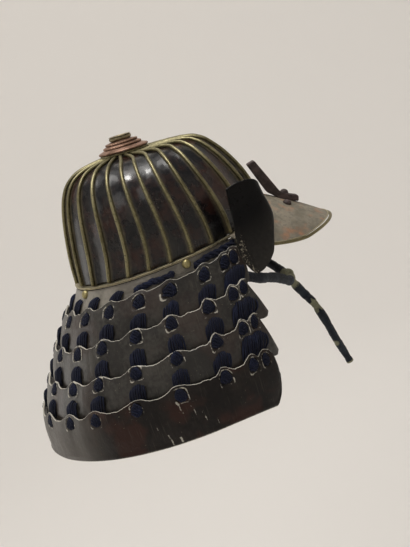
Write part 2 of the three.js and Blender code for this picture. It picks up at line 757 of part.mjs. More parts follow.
const circle = (radius, facets) =>
  Array.from({ length: facets }, (_, i) => {
    const turn = (2 * Math.PI * i) / facets;
    return new THREE.Vector2(radius * Math.cos(turn), radius * Math.sin(turn));
  });

function cordTube(path, steps) {
  const section = new THREE.Shape(circle(CORD.diameter / 2, CORD.sides));
  return new THREE.ExtrudeGeometry(section, { steps, extrudePath: path, bevelEnabled: false });
}

const rightHalf = LOOP_HALF.slice(0, -1).map(([side, forward, up]) => [-side, forward, up]);
const loopPoints = [...LOOP_HALF, ...rightHalf.reverse()].map(place);
const loopPath = new THREE.CatmullRomCurve3(loopPoints);
add("chin_cord_loop", cordTube(loopPath, CORD.loopSteps), finishes.cord());

const knotCentre = new THREE.Vector3(0, -KNOT.forward, KNOT.up);
const barrel = new THREE.CylinderGeometry(KNOT.radius, KNOT.radius, 2 * KNOT.half, KNOT.facets);
add("chin_cord_knot", barrel.rotateZ(Math.PI / 2).translate(...knotCentre), finishes.cord());

const flatNormal = new THREE.Vector3(0, -Math.cos(radians(KNOT.flat)), -Math.sin(radians(KNOT.flat)));
const flatReach = KNOT.radius * Math.cos(Math.PI / KNOT.facets);
const tailStart = knotCentre.clone().addScaledVector(flatNormal, flatReach + GAP);
const tailPath = new THREE.CatmullRomCurve3([tailStart, ...TAIL.map(place)]);
add("chin_cord_tail", cordTube(tailPath, CORD.tailSteps), finishes.cord());

// A keeper is a short ring round the cord, fixed on the inside of the neck band.
function keeper(name, station) {
  const { inner, outer, wide, facets } = KEEPER;
  const corners = [
    [inner, -wide / 2],
    [outer, -wide / 2],
    [outer, wide / 2],
    [inner, wide / 2],
    [inner, -wide / 2],
  ];
  const profile = corners.map(([r, h]) => new THREE.Vector2(r, h));
  const mesh = add(name, new THREE.LatheGeometry(profile, facets), finishes.iron());
  const tangent = loopPath.getTangent(station / (loopPoints.length - 1));
  mesh.position.copy(loopPoints[station]);
  mesh.quaternion.setFromUnitVectors(new THREE.Vector3(0, 1, 0), tangent);
}

keeper("cord_keeper_left", KEEPER.side);
keeper("cord_keeper_back", LOOP_HALF.length - 1);
keeper("cord_keeper_right", loopPoints.length - 1 - KEEPER.side);

export default helmet;
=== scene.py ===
"""A kabuto, the helmet of a samurai's armour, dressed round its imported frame.

The scene is in metres. The tables below are in millimetres, as the pieces were made, with +Z up,
the front at -Y and the wearer's right side at -X.
"""

import math

import bpy
import numpy as np
from mathutils import Matrix, Vector


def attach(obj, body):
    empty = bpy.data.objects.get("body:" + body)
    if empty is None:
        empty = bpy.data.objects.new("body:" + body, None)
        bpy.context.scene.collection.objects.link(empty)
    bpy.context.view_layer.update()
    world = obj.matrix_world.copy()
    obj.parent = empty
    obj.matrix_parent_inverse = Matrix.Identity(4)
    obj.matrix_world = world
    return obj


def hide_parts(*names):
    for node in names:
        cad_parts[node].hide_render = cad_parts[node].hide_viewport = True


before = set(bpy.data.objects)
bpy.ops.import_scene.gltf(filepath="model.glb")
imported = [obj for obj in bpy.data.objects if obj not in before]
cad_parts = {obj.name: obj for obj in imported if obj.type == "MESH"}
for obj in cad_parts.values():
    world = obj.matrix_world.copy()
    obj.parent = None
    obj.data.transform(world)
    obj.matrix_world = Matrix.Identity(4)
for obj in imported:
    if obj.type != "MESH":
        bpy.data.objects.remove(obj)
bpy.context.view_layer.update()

# ------------------------------------------------------------------------------------------------
# The stand: a camera level with the wearer's right side, rolled because the helmet sits tipped
# back, a round pale studio floor whose edge curves up into its wall, and five soft lamps.
# ------------------------------------------------------------------------------------------------

CAMERA = {
    "aim": (0.0, -0.0258, -0.0473),
    "distance": 0.95,
    "height": 13.44,
    "towards_front": 0.45,
    "roll": 22.34,
    "lens": 54.37,
}


def place_camera():
    """The camera backs away from its aim along one direction, given by its height and its turn
    towards the front in degrees, and is then rolled about that line."""
    height, turn, roll = (math.radians(CAMERA[k]) for k in ("height", "towards_front", "roll"))
    flat = math.cos(height)
    back = Vector((-flat * math.cos(turn), -flat * math.sin(turn), math.sin(height)))
    level = Vector((0, 0, 1)).cross(back).normalized()
    upright = back.cross(level)
    right = level * math.cos(roll) - upright * math.sin(roll)
    top = upright * math.cos(roll) + level * math.sin(roll)
    camera = bpy.data.objects.new("camera", bpy.data.cameras.new("camera"))
    camera.data.lens = CAMERA["lens"]
    camera.data.sensor_width = 36
    camera.data.clip_start = 0.01
    bpy.context.scene.collection.objects.link(camera)
    turned = Matrix((right, top, back)).transposed().to_4x4()
    place = Vector(CAMERA["aim"]) + back * CAMERA["distance"]
    camera.matrix_world = Matrix.Translation(place) @ turned
    bpy.context.scene.camera = camera


place_camera()

LAMP_COLOUR = (1.0, 0.975, 0.94)
LAMPS = {
    "key_lamp": {"at": (-0.22, -0.05, 1.5), "aim": (0, 0, 0), "size": 0.28, "power": 10.5},
    "soft_lamp": {"at": (0.5, 0.1, 2.6), "aim": (0.5, 0.1, 0), "size": 2.4, "power": 15.0},
    "backdrop_lamp": {"at": (0.4, 0.0, 2.3), "aim": (3.0, 0.2, 0.3), "size": 1.6, "power": 31.0},
    "side_lamp": {"at": (0.5, 2.3, -0.1), "aim": (0, 0.1, 0), "size": 1.3, "power": 6.0},
    "fill_lamp": {"at": (-1.6, 1.1, 1.7), "aim": (0, 0, 0), "size": 1.1, "power": 6.5},
}

for lamp_name, lamp in LAMPS.items():
    light = bpy.data.lights.new(lamp_name, "AREA")
    light.size = lamp["size"]
    light.energy = lamp["power"]
    light.color = LAMP_COLOUR
    stand = bpy.data.objects.new(lamp_name, light)
    stand.location = lamp["at"]
    beam = Vector(lamp["aim"]) - Vector(lamp["at"])
    stand.rotation_euler = beam.to_track_quat("-Z", "Y").to_euler()
    bpy.context.scene.collection.objects.link(stand)

room = bpy.data.worlds.new("room")
room.use_nodes = True
air = room.node_tree.nodes["Background"]
air.inputs["Color"].default_value = (0.86, 0.85, 0.83, 1)
air.inputs["Strength"].default_value = 0.20
bpy.context.scene.world = room
bpy.context.scene.view_settings.view_transform = "Standard"


class Link:
    """A socket of a material's nodes. Arithmetic on it adds the Math node that works it out."""

    def __init__(self, tree, socket=None):
        self.tree = tree
        self.socket = socket

    def node(self, kind, settings=None, inputs=None, out=0):
        """Adds a node of a type: its settings first, then the values or links of its sockets."""
        made = self.tree.nodes.new(kind)
        for key, value in (settings or {}).items():
            setattr(made, key, value)
        for key, value in (inputs or {}).items():
            if isinstance(value, Link):
                self.tree.links.new(value.socket, made.inputs[key])
            else:
                made.inputs[key].default_value = value
        return Link(self.tree, made.outputs[out])

    def maths(self, operation, *values):
        return self.node("ShaderNodeMath", {"operation": operation}, dict(enumerate(values)))

    def __add__(self, other):
        return self.maths("ADD", self, other)

    def __sub__(self, other):
        return self.maths("SUBTRACT", self, other)

    def __rsub__(self, other):
        return self.maths("SUBTRACT", other, self)

    def __mul__(self, other):
        return self.maths("MULTIPLY", self, other)

    __radd__ = __add__
    __rmul__ = __mul__


def tint(mask, below, above):
    """The colour below where the mask is 0, and the colour above where it is 1."""
    colours = [c if isinstance(c, Link) else (*c, 1) for c in (below, above)]
    ends = {0: mask, 6: colours[0], 7: colours[1]}
    return mask.node("ShaderNodeMix", {"data_type": "RGBA"}, ends, 2)


def rise(value, low, high):
    """0 under the low value, 1 over the high one, and an S-shaped rise between them."""
    ends = {"Value": value, "From Min": low, "From Max": high}
    return value.node("ShaderNodeMapRange", {"interpolation_type": "SMOOTHSTEP"}, ends)


def grain(where, size, detail=3.0, stretch=(1, 1, 1), shift=0.0):
    """Noise whose patches are about the size given, in metres, stretched along each axis."""
    scale = tuple(1 / s for s in stretch)
    moved = {"Vector": where, "Scale": scale, "Location": (shift, shift, shift)}
    lay = where.node("ShaderNodeMapping", {}, moved)
    noise = {"Vector": lay, "Scale": 1 / size, "Detail": detail}
    return where.node("ShaderNodeTexNoise", {}, noise)


def new_finish(name):
    """A new material, a link to start its nodes from, and a link to its Object coordinates."""
    material = bpy.data.materials.new(name)
    material.use_nodes = True
    start = Link(material.node_tree)
    return material, start, start.node("ShaderNodeTexCoord", out="Object")


def set_finish(material, height=None, deep=0.0005, **sockets):
    """Sets the shader's sockets, named with _ for a space, and a bump of the height, deep at 1."""
    shader = material.node_tree.nodes["Principled BSDF"]
    start = Link(material.node_tree)
    if height is not None:
        bump = {"Height": height, "Distance": deep}
        sockets["Normal"] = start.node("ShaderNodeBump", {}, bump, "Normal")
    for key, value in sockets.items():
        socket = shader.inputs[key.replace("_", " ")]
        if isinstance(value, Link):
            start.tree.links.new(value.socket, socket)
        else:
            socket.default_value = (*value, 1) if isinstance(value, tuple) else value


def net(rows, columns, close_rows=False, close_columns=False):
    """Corner numbers of the quads between neighbours of a net of points, counted row by row."""
    i = np.arange(rows if close_rows else rows - 1)[:, None]
    j = np.arange(columns if close_columns else columns - 1)[None, :]
    below, beside = (i + 1) % rows, (j + 1) % columns
    i, below = i * columns, below * columns
    corners = (i + j, i + beside, below + beside, below + j)
    return np.stack(np.broadcast_arrays(*corners), axis=-1).reshape(-1, 4)


def facing_out(points, faces):
    """The faces, turned round if the volume they close, the sum of each triangle's a.(b x c), is
    negative."""
    volume = 0.0
    for group in faces:
        for k in range(1, group.shape[1] - 1):
            a, b, c = points[group[:, 0]], points[group[:, k]], points[group[:, k + 1]]
            volume += np.einsum("ij,ij->", a, np.cross(b, c))
    return faces if volume > 0 else [group[:, ::-1] for group in faces]


def new_mesh(name, patches, material):
    """An object of patches, each a tuple of points in millimetres, a list of arrays of corner
    numbers, and a table of named marks at the points that the material reads."""
    starts = np.cumsum([0] + [len(points) for points, _, _ in patches])
    points = np.concatenate([points for points, _, _ in patches]) / 1000
    faces = [group + start for (_, groups, _), start in zip(patches, starts) for group in groups]
    corners = np.concatenate([group.ravel() for group in faces])
    sizes = np.concatenate([np.full(len(group), group.shape[1]) for group in faces])
    mesh = bpy.data.meshes.new(name)
    mesh.vertices.add(len(points))
    mesh.vertices.foreach_set("co", points.ravel())
    mesh.loops.add(len(corners))
    mesh.loops.foreach_set("vertex_index", corners)
    mesh.polygons.add(len(sizes))
    mesh.polygons.foreach_set("loop_start", np.cumsum(sizes) - sizes)
    mesh.update(calc_edges=True)
    mesh.validate()
    mesh.shade_smooth()
    for mark in patches[0][2]:
        values = np.concatenate([marks[mark] for _, _, marks in patches])
        kind, field = ("FLOAT", "value") if values.ndim == 1 else ("FLOAT_VECTOR", "vector")
        made_mark = mesh.attributes.new(mark, kind, "POINT")
        made_mark.data.foreach_set(field, values.ravel().astype(np.float32))
    mesh.materials.append(material)
    made = bpy.data.objects.new(name, mesh)
    bpy.context.scene.collection.objects.link(made)
    return made


STUDIO = {"floor": -720, "flat": 1500, "curve": 1500, "wall": 3200}
STUDIO_SIDES = 96


def studio():
    """A profile spun round Z: level out to the flat radius, a quarter circle up, then a wall."""
    turn = np.linspace(0, np.pi / 2, 16)
    far = STUDIO["flat"] + STUDIO["curve"]
    radius = np.concatenate([[1, 500], STUDIO["flat"] + STUDIO["curve"] * np.sin(turn), [far]])
    curve = STUDIO["curve"] * (1 - np.cos(turn))
    height = STUDIO["floor"] + np.concatenate([[0, 0], curve, [STUDIO["wall"]]])
    rows = len(height)
    spin = np.linspace(0, 2 * np.pi, STUDIO_SIDES, endpoint=False)[:, None]
    height = np.broadcast_to(height, (STUDIO_SIDES, rows))
    points = np.stack([radius * np.cos(spin), radius * np.sin(spin), height], axis=-1)
    faces = [net(STUDIO_SIDES, rows, close_rows=True), np.arange(STUDIO_SIDES)[None] * rows]
    return points.reshape(-1, 3), faces, {}


paper, _, _ = new_finish("studio_paper")
set_finish(paper, Base_Color=(0.80, 0.775, 0.745), Roughness=0.95)
new_mesh("studio_floor", [studio()], paper)

# ------------------------------------------------------------------------------------------------
# Bowl: a melon-shaped shell of 26 iron plates, riveted edge over edge and coated in black lacquer
# that has worn to red-brown in places. Each plate is a little hollow between its two seams.
# ------------------------------------------------------------------------------------------------

PLATES = 26
SHELL_WALL = 2
# Level rings of the bowl from the crown to its mouth: its reach behind and in front, the heights
# there, and its half width.
BOWL = {
    "back": (30, 58, 74, 85, 94, 101.5, 107.5, 111),
    "back_z": (115, 113, 107, 95, 75, 50, 24, 0),
    "front": (20, 62, 78, 88.5, 98.5, 108, 112.5, 108),
    "front_z": (109, 104.5, 98, 87, 71, 48, 24, 0),
    "side": (25, 49, 67, 81, 92, 98, 98.5, 95),
}
# Degrees by which the seams bunch towards the sides, at the same levels.
BUNCH = (2.5, 4, 5.5, 6, 6.5, 6.5, 5.5, 3)
MOUTH = 7
HOLLOW = 0.05
BOWL_ROWS = 96
PLATE_STEPS = 12
SEAM_TINT_WIDTH = 0.17


def along(column, row):
    """A table's value between its rows: an ease t*t*(3 - 2t) from one row's value to the next,
    plus the slope at the first times t(1-t)(1-t), less the slope at the second times t*t(1-t)."""
    column = np.asarray(column, float)
    last = len(column) - 1
    i = np.clip(np.floor(row), 0, last - 1).astype(int)
    t = row - i
    b, c = column[i], column[i + 1]
    slope_b = np.where(i == 0, c - b, (c - column[np.maximum(i - 1, 0)]) / 2)
    slope_c = np.where(i + 1 == last, c - b, (column[np.minimum(i + 2, last)] - b) / 2)
    ease = t * t * (3 - 2 * t)
    return b * (1 - ease) + c * ease + slope_b * t * (1 - t) ** 2 - slope_c * (1 - t) * t**2


def place_of(*axes):
    return np.stack(np.broadcast_arrays(*axes), axis=-1).astype(float)


def unit(vectors):
    return vectors / np.linalg.norm(vectors, axis=-1, keepdims=True)


def bowl_point(angle, level):
    """An ellipse at each level: x is the half width times the sine of the angle from the middle of
    the back, and y and z pass from the back's values to the front's with its cosine."""
    turn = np.radians(angle)
    back, back_z, front, front_z, side = (along(BOWL[column], level) for column in BOWL)
    y = (back - front) / 2 + (back + front) / 2 * np.cos(turn)
    z = (back_z + front_z) / 2 + (back_z - front_z) / 2 * np.cos(turn)
    return place_of(side * np.sin(turn), y, z)


def normal_of(surface, u, v):
    """The unit cross product of the surface's slopes along its two parameters."""
    along_u = surface(u + 0.5, v) - surface(u - 0.5, v)
    along_v = surface(u, v + 0.02) - surface(u, v - 0.02)
    return unit(np.cross(along_u, along_v))


def over(surface, u, v, height):
    return surface(u, v) + normal_of(surface, u, v) * np.asarray(height)[..., None]


def seam_angles(level):
    """Even angles, plus the bunching of the level times the sine of twice the angle."""
    even = (np.arange(PLATES) + 0.5) * 360 / PLATES
    return even + along(BUNCH, level) * np.sin(np.radians(2 * even))


def bowl_plates(height):
    """The straight line between two seams at each level, less a hollow of 4t(1-t) times a
    twentieth of the plate's width."""
    level = np.linspace(0, MOUTH, BOWL_ROWS)[:, None]
    t = np.linspace(0, 1, PLATE_STEPS, endpoint=False)[:, None]
    angles = seam_angles(level)
    seams = over(bowl_point, angles, level, height)[:, :, None]
    nexts = np.roll(seams, -1, axis=1)
    middles = (angles + np.concatenate([angles[:, 1:], angles[:, :1] + 360], axis=1)) / 2
    out = normal_of(bowl_point, middles, level)[:, :, None]
    wide = np.linalg.norm(nexts - seams, axis=-1, keepdims=True)
    plates = seams * (1 - t) + nexts * t - out * wide * HOLLOW * 4 * t * (1 - t)
    return plates.reshape(BOWL_ROWS, -1, 3)


def bell(distance, width):
    """A bell curve: e to the less square of the distance over the width."""
    return np.exp(-((distance / width) ** 2))


def bowl_wall():
    """A wall from the plates' outer net and their inner one, joined at their first and last rows.
    Its mark is a bell curve of how near a place is to a seam, fuller low on the bowl."""
    points = np.concatenate([bowl_plates(0), bowl_plates(-SHELL_WALL)[::-1]])
    rows, columns = points.shape[:2]
    t = np.tile(np.arange(PLATE_STEPS) / PLATE_STEPS, PLATES)
    level = np.linspace(0, 1, BOWL_ROWS)
    low = 0.45 + 0.55 * np.concatenate([level, level[::-1]])[:, None]
    seam = low * bell(np.minimum(t, 1 - t), SEAM_TINT_WIDTH)
    points = points.reshape(-1, 3)
    return points, facing_out(points, [net(rows, columns, True, True)]), {"seam": seam.ravel()}


def marked(start, name, out="Fac"):
    """A link to one of the marks that a mesh carries at its points."""
    return start.node("ShaderNodeAttribute", {"attribute_name": name}, out=out)


def bowl_lacquer():
    material, start, where = new_finish("bowl_lacquer")
    broad = grain(where, 0.05, 3.0)
    fine = grain(where, 0.006, 6.0, shift=3.0)
    specks = grain(where, 0.0016, 3.0, shift=7.0)
    worn = rise(broad * 0.75 + fine * 0.25, 0.47, 0.66)
    dusty = rise(grain(where, 0.028, 5.0, (1, 1, 1.6), 5.0), 0.5, 0.75)
    seam = marked(start, "seam")
    colour = tint(worn, (0.009, 0.0088, 0.010), (0.036, 0.014, 0.010))
    colour = tint(dusty * 0.42, colour, (0.05, 0.047, 0.040))
    # A lighter olive tint, and more roughness, near each seam, fuller low on the bowl.
    colour = tint(rise(seam + fine * 0.5, 0.40, 1.0) * 0.85, colour, (0.115, 0.098, 0.062))
    colour = tint(rise(specks, 0.66, 0.8) * 0.35, colour, (0.12, 0.10, 0.07))
    rough = 0.15 + fine * 0.16 + dusty * 0.2 + seam * 0.25
    height = fine * 0.5 + grain(where, 0.018, 2.0, shift=1.0) * 2.5
    set_finish(material, height, 0.0004, Base_Color=colour, Roughness=rough,
               Specular_IOR_Level=0.28, Coat_Weight=0.24, Coat_Roughness=0.1)
    return material


bowl = new_mesh("bowl_plates", [bowl_wall()], bowl_lacquer())
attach(bowl, "root")
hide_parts("bowl_shell")

# ------------------------------------------------------------------------------------------------
# Ribs: a standing flange on each seam, capped with a rolled strip of brass that has gone olive,
# and the crown ring that holds their upper ends.
# ------------------------------------------------------------------------------------------------

RIB = {"radius": 1.95, "centre": 1.45, "end": 6.95, "stations": 84, "sides": 12}
CROWN_RING = {"inner": 22, "outer": 27, "height": 2.4, "gap": 0.3, "soft": 0.8}
FINIAL_FOOT = (0, 5.3, 117.4)
FINIAL_LEAN = math.radians(5.7)


def carried(path, across, out, section, closed=False, marks=None):
    """Bars whose section is carried along paths: a point u across and w out from each station.
    An open bar ends in a flat face. Axes: path, station, then the section's points."""
    points = path[:, :, None] + across[:, :, None] * section[..., :1]
    points = points + out[:, :, None] * section[..., 1:]
    bars, stations, sides = points.shape[:3]
    first = np.arange(bars)[:, None] * stations * sides
    quads = net(stations, sides, closed, True)
    faces = [(first[:, :, None] + quads[None]).reshape(-1, 4)]
    if not closed:
        ring = np.arange(sides)[None]
        faces += [first + ring[:, ::-1], first + (stations - 1) * sides + ring]
    points = points.reshape(-1, 3)
    shape = (bars, stations, sides)
    spread = {k: np.broadcast_to(v, shape + v.shape[3:]) for k, v in (marks or {}).items()}
    flat = {k: v.reshape((-1,) + v.shape[3:]) for k, v in spread.items()}
    return points, facing_out(points, faces), flat


def circle(radius, sides):
    turn = np.linspace(0, 2 * np.pi, sides, endpoint=False)
    return np.stack([radius * np.cos(turn), radius * np.sin(turn)], axis=-1)


def ribs():
    """A circle carried down each seam from the crown to the rim, its centre a little over the
    plates, so that a groove is left on each side."""
    level = np.linspace(0, RIB["end"], RIB["stations"])[:, None]
    seam = lambda rows: bowl_point(seam_angles(rows), rows).swapaxes(0, 1)
    out = normal_of(bowl_point, seam_angles(level), level).swapaxes(0, 1)
    down = unit(seam(level + 0.1) - seam(level - 0.1))
    path, across = seam(level) + out * RIB["centre"], unit(np.cross(out, down))
    return carried(path, across, out, circle(RIB["radius"], RIB["sides"]))


def softened(corners, radius, steps=4):
    """A closed outline with its corners eased: each becomes the parabola from a point a radius
    before it to a point a radius past it, (1-t)(1-t)a + 2t(1-t)corner + t*t*b."""
    corners = np.asarray(corners, float)
    t = np.linspace(0, 1, steps)[None, :, None]
    ends = []
    for step in (1, -1):
        side = np.roll(corners, step, axis=0) - corners
        share = np.minimum(radius / np.linalg.norm(side, axis=1, keepdims=True), 0.45)
        ends.append((corners + side * share)[:, None])
    a, b = ends
    return ((1 - t) ** 2 * a + 2 * t * (1 - t) * corners[:, None] + t**2 * b).reshape(-1, 2)


def finial_axes(points):
    """Points given about the finial's own axis, leaned forward and put on the crown."""
    c, s = math.cos(FINIAL_LEAN), math.sin(FINIAL_LEAN)
    x, y, z = np.moveaxis(points, -1, 0)
    return place_of(x, y * c - z * s, y * s + z * c) + np.array(FINIAL_FOOT)


def spun(profile, foot, sides, swell=None):
    """A profile of radius and height turned about the finial's axis. The swell is a height added
    to the radius at each angle and profile point."""
    turn = np.linspace(0, 2 * np.pi, sides, endpoint=False)[:, None]
    radius = profile[None, :, 0] + (0 if swell is None else swell(turn, profile))
    points = place_of(radius * np.cos(turn), radius * np.sin(turn), profile[None, :, 1] + foot)
    points = finial_axes(points).reshape(-1, 3)
    return points, facing_out(points, [net(sides, len(profile), True, True)]), {}


def crown_ring():
    inner, outer, high = CROWN_RING["inner"], CROWN_RING["outer"], CROWN_RING["height"]
    corners = [(inner, 0), (outer, 0), (outer, high), (inner, high)]
    return spun(softened(corners, CROWN_RING["soft"]), -high - CROWN_RING["gap"], 96)


def aged_brass(name, bright, olive, dark, patches=0.5):
    """Brass that is bright where it is rubbed, olive beside it, and dark in its specks."""
    material, start, where = new_finish(name)
    broad = grain(where, 0.03, 4.0)
    fine = grain(where, 0.003, 5.0, shift=4.0)
    rubbed = rise(broad * 0.5 + fine * 0.5, patches - 0.12, patches + 0.1)
    colour = tint(rubbed, olive, bright)
    colour = tint(rise(fine, 0.56, 0.72) * 0.7, colour, dark)
    rough = 0.3 + fine * 0.3
    set_finish(material, fine, 0.00015, Base_Color=colour, Roughness=rough, Metallic=0.8)
    return material


rib_brass = aged_brass(
    "rib_brass", (0.30, 0.27, 0.15), (0.15, 0.132, 0.070), (0.04, 0.036, 0.024)
)
rib_piece = new_mesh("rib_caps", [ribs(), crown_ring()], rib_brass)
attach(rib_piece, "root")
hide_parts("bowl_ribs")

# ------------------------------------------------------------------------------------------------
# Rim trim: two beads of gilt copper, rolled from one strip and pinned round the bowl's mouth. The
# upper one is bright, and the lower one stands in its shade.
# ------------------------------------------------------------------------------------------------

RIM_TRIM = {"top": -0.4, "bottom": -3, "inside": -2, "outside": 4.2}


def rim_trim():
    """A strip's outline, with a waist half way down, carried round the mouth."""
    turn = np.linspace(0, 360, 312, endpoint=False)
    foot = bowl_point(turn, MOUTH)
    out = normal_of(bowl_point, turn, MOUTH) * np.array([1, 1, 0])
    up = np.broadcast_to(np.array([0.0, 0.0, 1.0]), foot.shape)
    top, bottom, inside, outside = (RIM_TRIM[k] for k in ("top", "bottom", "inside", "outside"))
    waist = (top + bottom) / 2 - 0.1
    lower = [(inside, bottom), (outside - 0.8, bottom), (outside - 0.7, waist - 0.2)]
    upper = [(outside - 1.6, waist), (outside, waist + 0.2), (outside, top), (inside, top)]
    section = softened(lower + upper, 0.5)
    return carried(foot[None], unit(out)[None], up[None], section, closed=True)


gilt = aged_brass("worn_gilt", (0.44, 0.39, 0.26), (0.27, 0.235, 0.15), (0.08, 0.07, 0.045), 0.45)
rim_piece = new_mesh("rim_beads", [rim_trim()], gilt)
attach(rim_piece, "root")
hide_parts("bowl_rim_trim")

# ------------------------------------------------------------------------------------------------
# Finial: four rings of copper stacked round the hole in the crown. The lowest is plain, the next
# two have roped edges, and the short tube on top is knurled brass.
# ------------------------------------------------------------------------------------------------

FINIAL_BORE = 8.5
FINIAL_GAP = 0.3
# Each ring, from below: its radius at the foot and at the top, the height of its round edge, its
# own height, and the number and depth of the beads along its edge.
FINIAL_RINGS = {
    "finial_base_ring": (28.2, 22.5, 2.6, 4.4, 0, 0),
    "finial_rope_ring_lower": (21.6, 19, 2.4, 3.2, 42, 0.7),
    "finial_rope_ring_upper": (18.2, 14, 2.2, 3, 36, 0.7),
    "finial_tube": (12.6, 12.6, 5.2, 5.4, 40, 0.4),
}


def finial_ring(stack, foot, top, edge, high, beads, deep):
    """A profile with a round edge. Its beads swell the edge by the size of a sine that goes round
    with the angle and slants with the height, so they lie like the strands of a rope."""
    bore = FINIAL_BORE
    turn = np.linspace(-1, 1, 9) * np.pi / 2
    round_edge = [foot - edge / 2 * (1 - np.cos(turn)), edge / 2 * (1 + np.sin(turn))]
    inner = [(bore, 0.3), (bore + 0.3, 0)]
    upper = [(top, high - 0.3), (top - 0.6, high), (bore + 0.6, high), (bore, high - 0.6)]
    profile = np.concatenate([inner, np.stack(round_edge, axis=-1), upper])

    def swell(turn, profile):
        on_edge = np.clip((profile[None, :, 0] - top + 0.3) / 1.5, 0, 1) if beads else 0
        return deep * (np.abs(np.sin(beads / 2 * turn + profile[None, :, 1])) - 0.7) * on_edge

    return spun(profile, stack, 360, swell)


def old_copper():
    material, start, where = new_finish("old_copper")
    broad = grain(where, 0.012, 4.0)
    fine = grain(where, 0.0022, 5.0, shift=2.0)
    colour = tint(rise(broad, 0.4, 0.6), (0.20, 0.115, 0.075), (0.34, 0.21, 0.15))
    colour = tint(rise(fine, 0.55, 0.7) * 0.75, colour, (0.06, 0.04, 0.03))
    rough = 0.34 + broad * 0.25
    set_finish(material, fine, 0.0002, Base_Color=colour, Roughness=rough, Metallic=0.7)
    return material


copper = old_copper()
dark_brass = aged_brass(
    "dark_brass", (0.36, 0.30, 0.18), (0.20, 0.165, 0.10), (0.04, 0.034, 0.024)
)
stack = 0
for node, sizes in FINIAL_RINGS.items():
    metal = dark_brass if node == "finial_tube" else copper
    ring_piece = new_mesh(node.replace("finial", "crown"), [finial_ring(stack, *sizes)], metal)
    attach(ring_piece, "root")
    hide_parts(node)
    stack += sizes[3] + FINIAL_GAP

# ------------------------------------------------------------------------------------------------
# Peak: an iron plate faced with printed leather that has faded to grey-brown with rusty orange
# patches, nailed on, and edged with an olive rim and a thin gilt line inside it.
# ------------------------------------------------------------------------------------------------

VISOR = {"half": 88.5, "root": 78, "tip": 184, "square": 1.95, "wall": 2, "spread": 55, "rise": 2}
VISOR_EDGE = {"level": -37.2, "lift_from": 50, "lift": 22}
# Where the leather ends, as a share of the peak's reach, and the reach, height and radius of the
# two lines along the edge.
LEATHER_END = 0.945
RIM_TUBE = {"reach": 0.985, "height": 1.0, "radius": 1.75}
RIM_LINE = {"reach": 0.945, "height": 2.1, "radius": 0.7}


def visor_point(angle, reach):
    """The straight line from a point on the bowl's front to one on the free edge, a squared ellipse
    in plan that lifts towards its ends, with an arch of the cosine times the sine of the reach."""
    turn = np.radians(angle)
    c, s = np.clip(np.cos(turn), 0, 1), np.sin(turn)
    power = 2 / VISOR["square"]
    edge_x = VISOR["half"] * np.sign(s) * np.abs(s) ** power
    edge_y = -(VISOR["root"] + (VISOR["tip"] - VISOR["root"]) * c**power)
    level, lift_from, lift = VISOR_EDGE.values()
    past = np.clip(np.abs(angle) - lift_from, 0, None) / (90 - lift_from)
    edge = place_of(edge_x, edge_y, level + lift * past**1.5)
    root = over(bowl_point, 180 - angle * VISOR["spread"] / 90, MOUTH - 0.6 * c * c, 5.6 + 0 * c)
    reach = np.asarray(reach, float)[..., None]
    arch = VISOR["rise"] * c[..., None] * np.sin(np.pi * reach) * np.array([0, 0, 1])
    return root * (1 - reach) + edge * reach + arch


def visor_up(angle, reach):
    """The peak's upward normal, taken just inside its edges."""
    return -normal_of(visor_point, np.clip(angle, -88, 88), np.clip(reach, 0.04, 0.96))


def visor_over(angle, reach, height):
    return visor_point(angle, reach) + visor_up(angle, reach) * np.asarray(height)[..., None]


def pane(columns, outline):
    """A thin plate's net: its outline, in places and heights, carried along its columns."""
    places, heights = outline
    return np.broadcast_arrays(columns[:, None], places[None], heights[None])


def plate_outline(wall, soft, rows, back_rows=6):
    """A plate's section as places from 0 to 1 along it and heights under its outer face: the outer
    face, a half circle round its edge, the inner face, and a half circle back."""
    turn = np.linspace(0, np.pi, 7)[1:-1]
    outer, inner = np.linspace(soft, 1 - soft, rows), np.linspace(1 - soft, soft, back_rows)
    bulge, drop = soft * np.sin(turn), wall / 2 * (np.cos(turn) - 1)
    places = np.concatenate([outer, 1 - soft + bulge, inner, soft - bulge])
    heights = np.concatenate([0 * outer, drop, 0 * inner - wall, -wall - drop])
    return places, heights


def capped(points, marks=None):
    """Closed rings of points in a row, joined by quads, with a face over each end."""
    stations, sides = points.shape[:2]
    ring = np.arange(sides)[None]
    faces = [net(stations, sides, False, True), ring[:, ::-1], (stations - 1) * sides + ring]
    points = points.reshape(-1, 3)
    return points, facing_out(points, faces), marks or {}


def visor_sheet():
    """The peak's plate: a plate's section at columns that crowd towards its two ends, so that its
    outer face stands a wall's thickness over the surface."""
    columns = 90 * np.sin(np.linspace(-np.pi / 2, np.pi / 2, 121))
    angle, place, height = pane(columns, plate_outline(VISOR["wall"], 0.012, 40))
    return capped(visor_over(angle, place * LEATHER_END, VISOR["wall"] + height))


def edge_path(reach, height):
    """The line along the peak at one reach, with its outward and upward axes."""
    angle = np.linspace(-90, 90, 181)
    path = visor_over(angle, 0 * angle + reach, 0 * angle + height)
    up = visor_up(angle, 0 * angle + 0.96)
    way = unit(np.gradient(path, axis=0))
    return path[None], unit(np.cross(way, up))[None], up[None]


def peak_leather():
    material, start, where = new_finish("peak_leather")
    broad = grain(where, 0.022, 4.0, shift=2.0)
    print_marks = grain(where, 0.0045, 2.0, shift=9.0)
    fine = grain(where, 0.0012, 5.0, shift=4.0)
    rust = rise(grain(where, 0.016, 5.0, shift=6.0), 0.50, 0.72)
    colour = tint(rise(broad, 0.35, 0.65), (0.135, 0.118, 0.085), (0.235, 0.205, 0.155))
    colour = tint(rise(print_marks, 0.5, 0.6) * 0.45, colour, (0.11, 0.105, 0.085))
    colour = tint(rust * 0.8, colour, (0.33, 0.155, 0.080))
    colour = tint(rise(fine, 0.58, 0.72) * 0.5, colour, (0.07, 0.06, 0.05))
    height = fine * 0.6 + print_marks * 0.6 + broad
    set_finish(material, height, 0.0004, Base_Color=colour, Roughness=0.62 + fine * 0.3)
    return material


leather = new_mesh("peak_plate", [visor_sheet()], peak_leather())
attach(leather, "root")
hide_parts("visor")

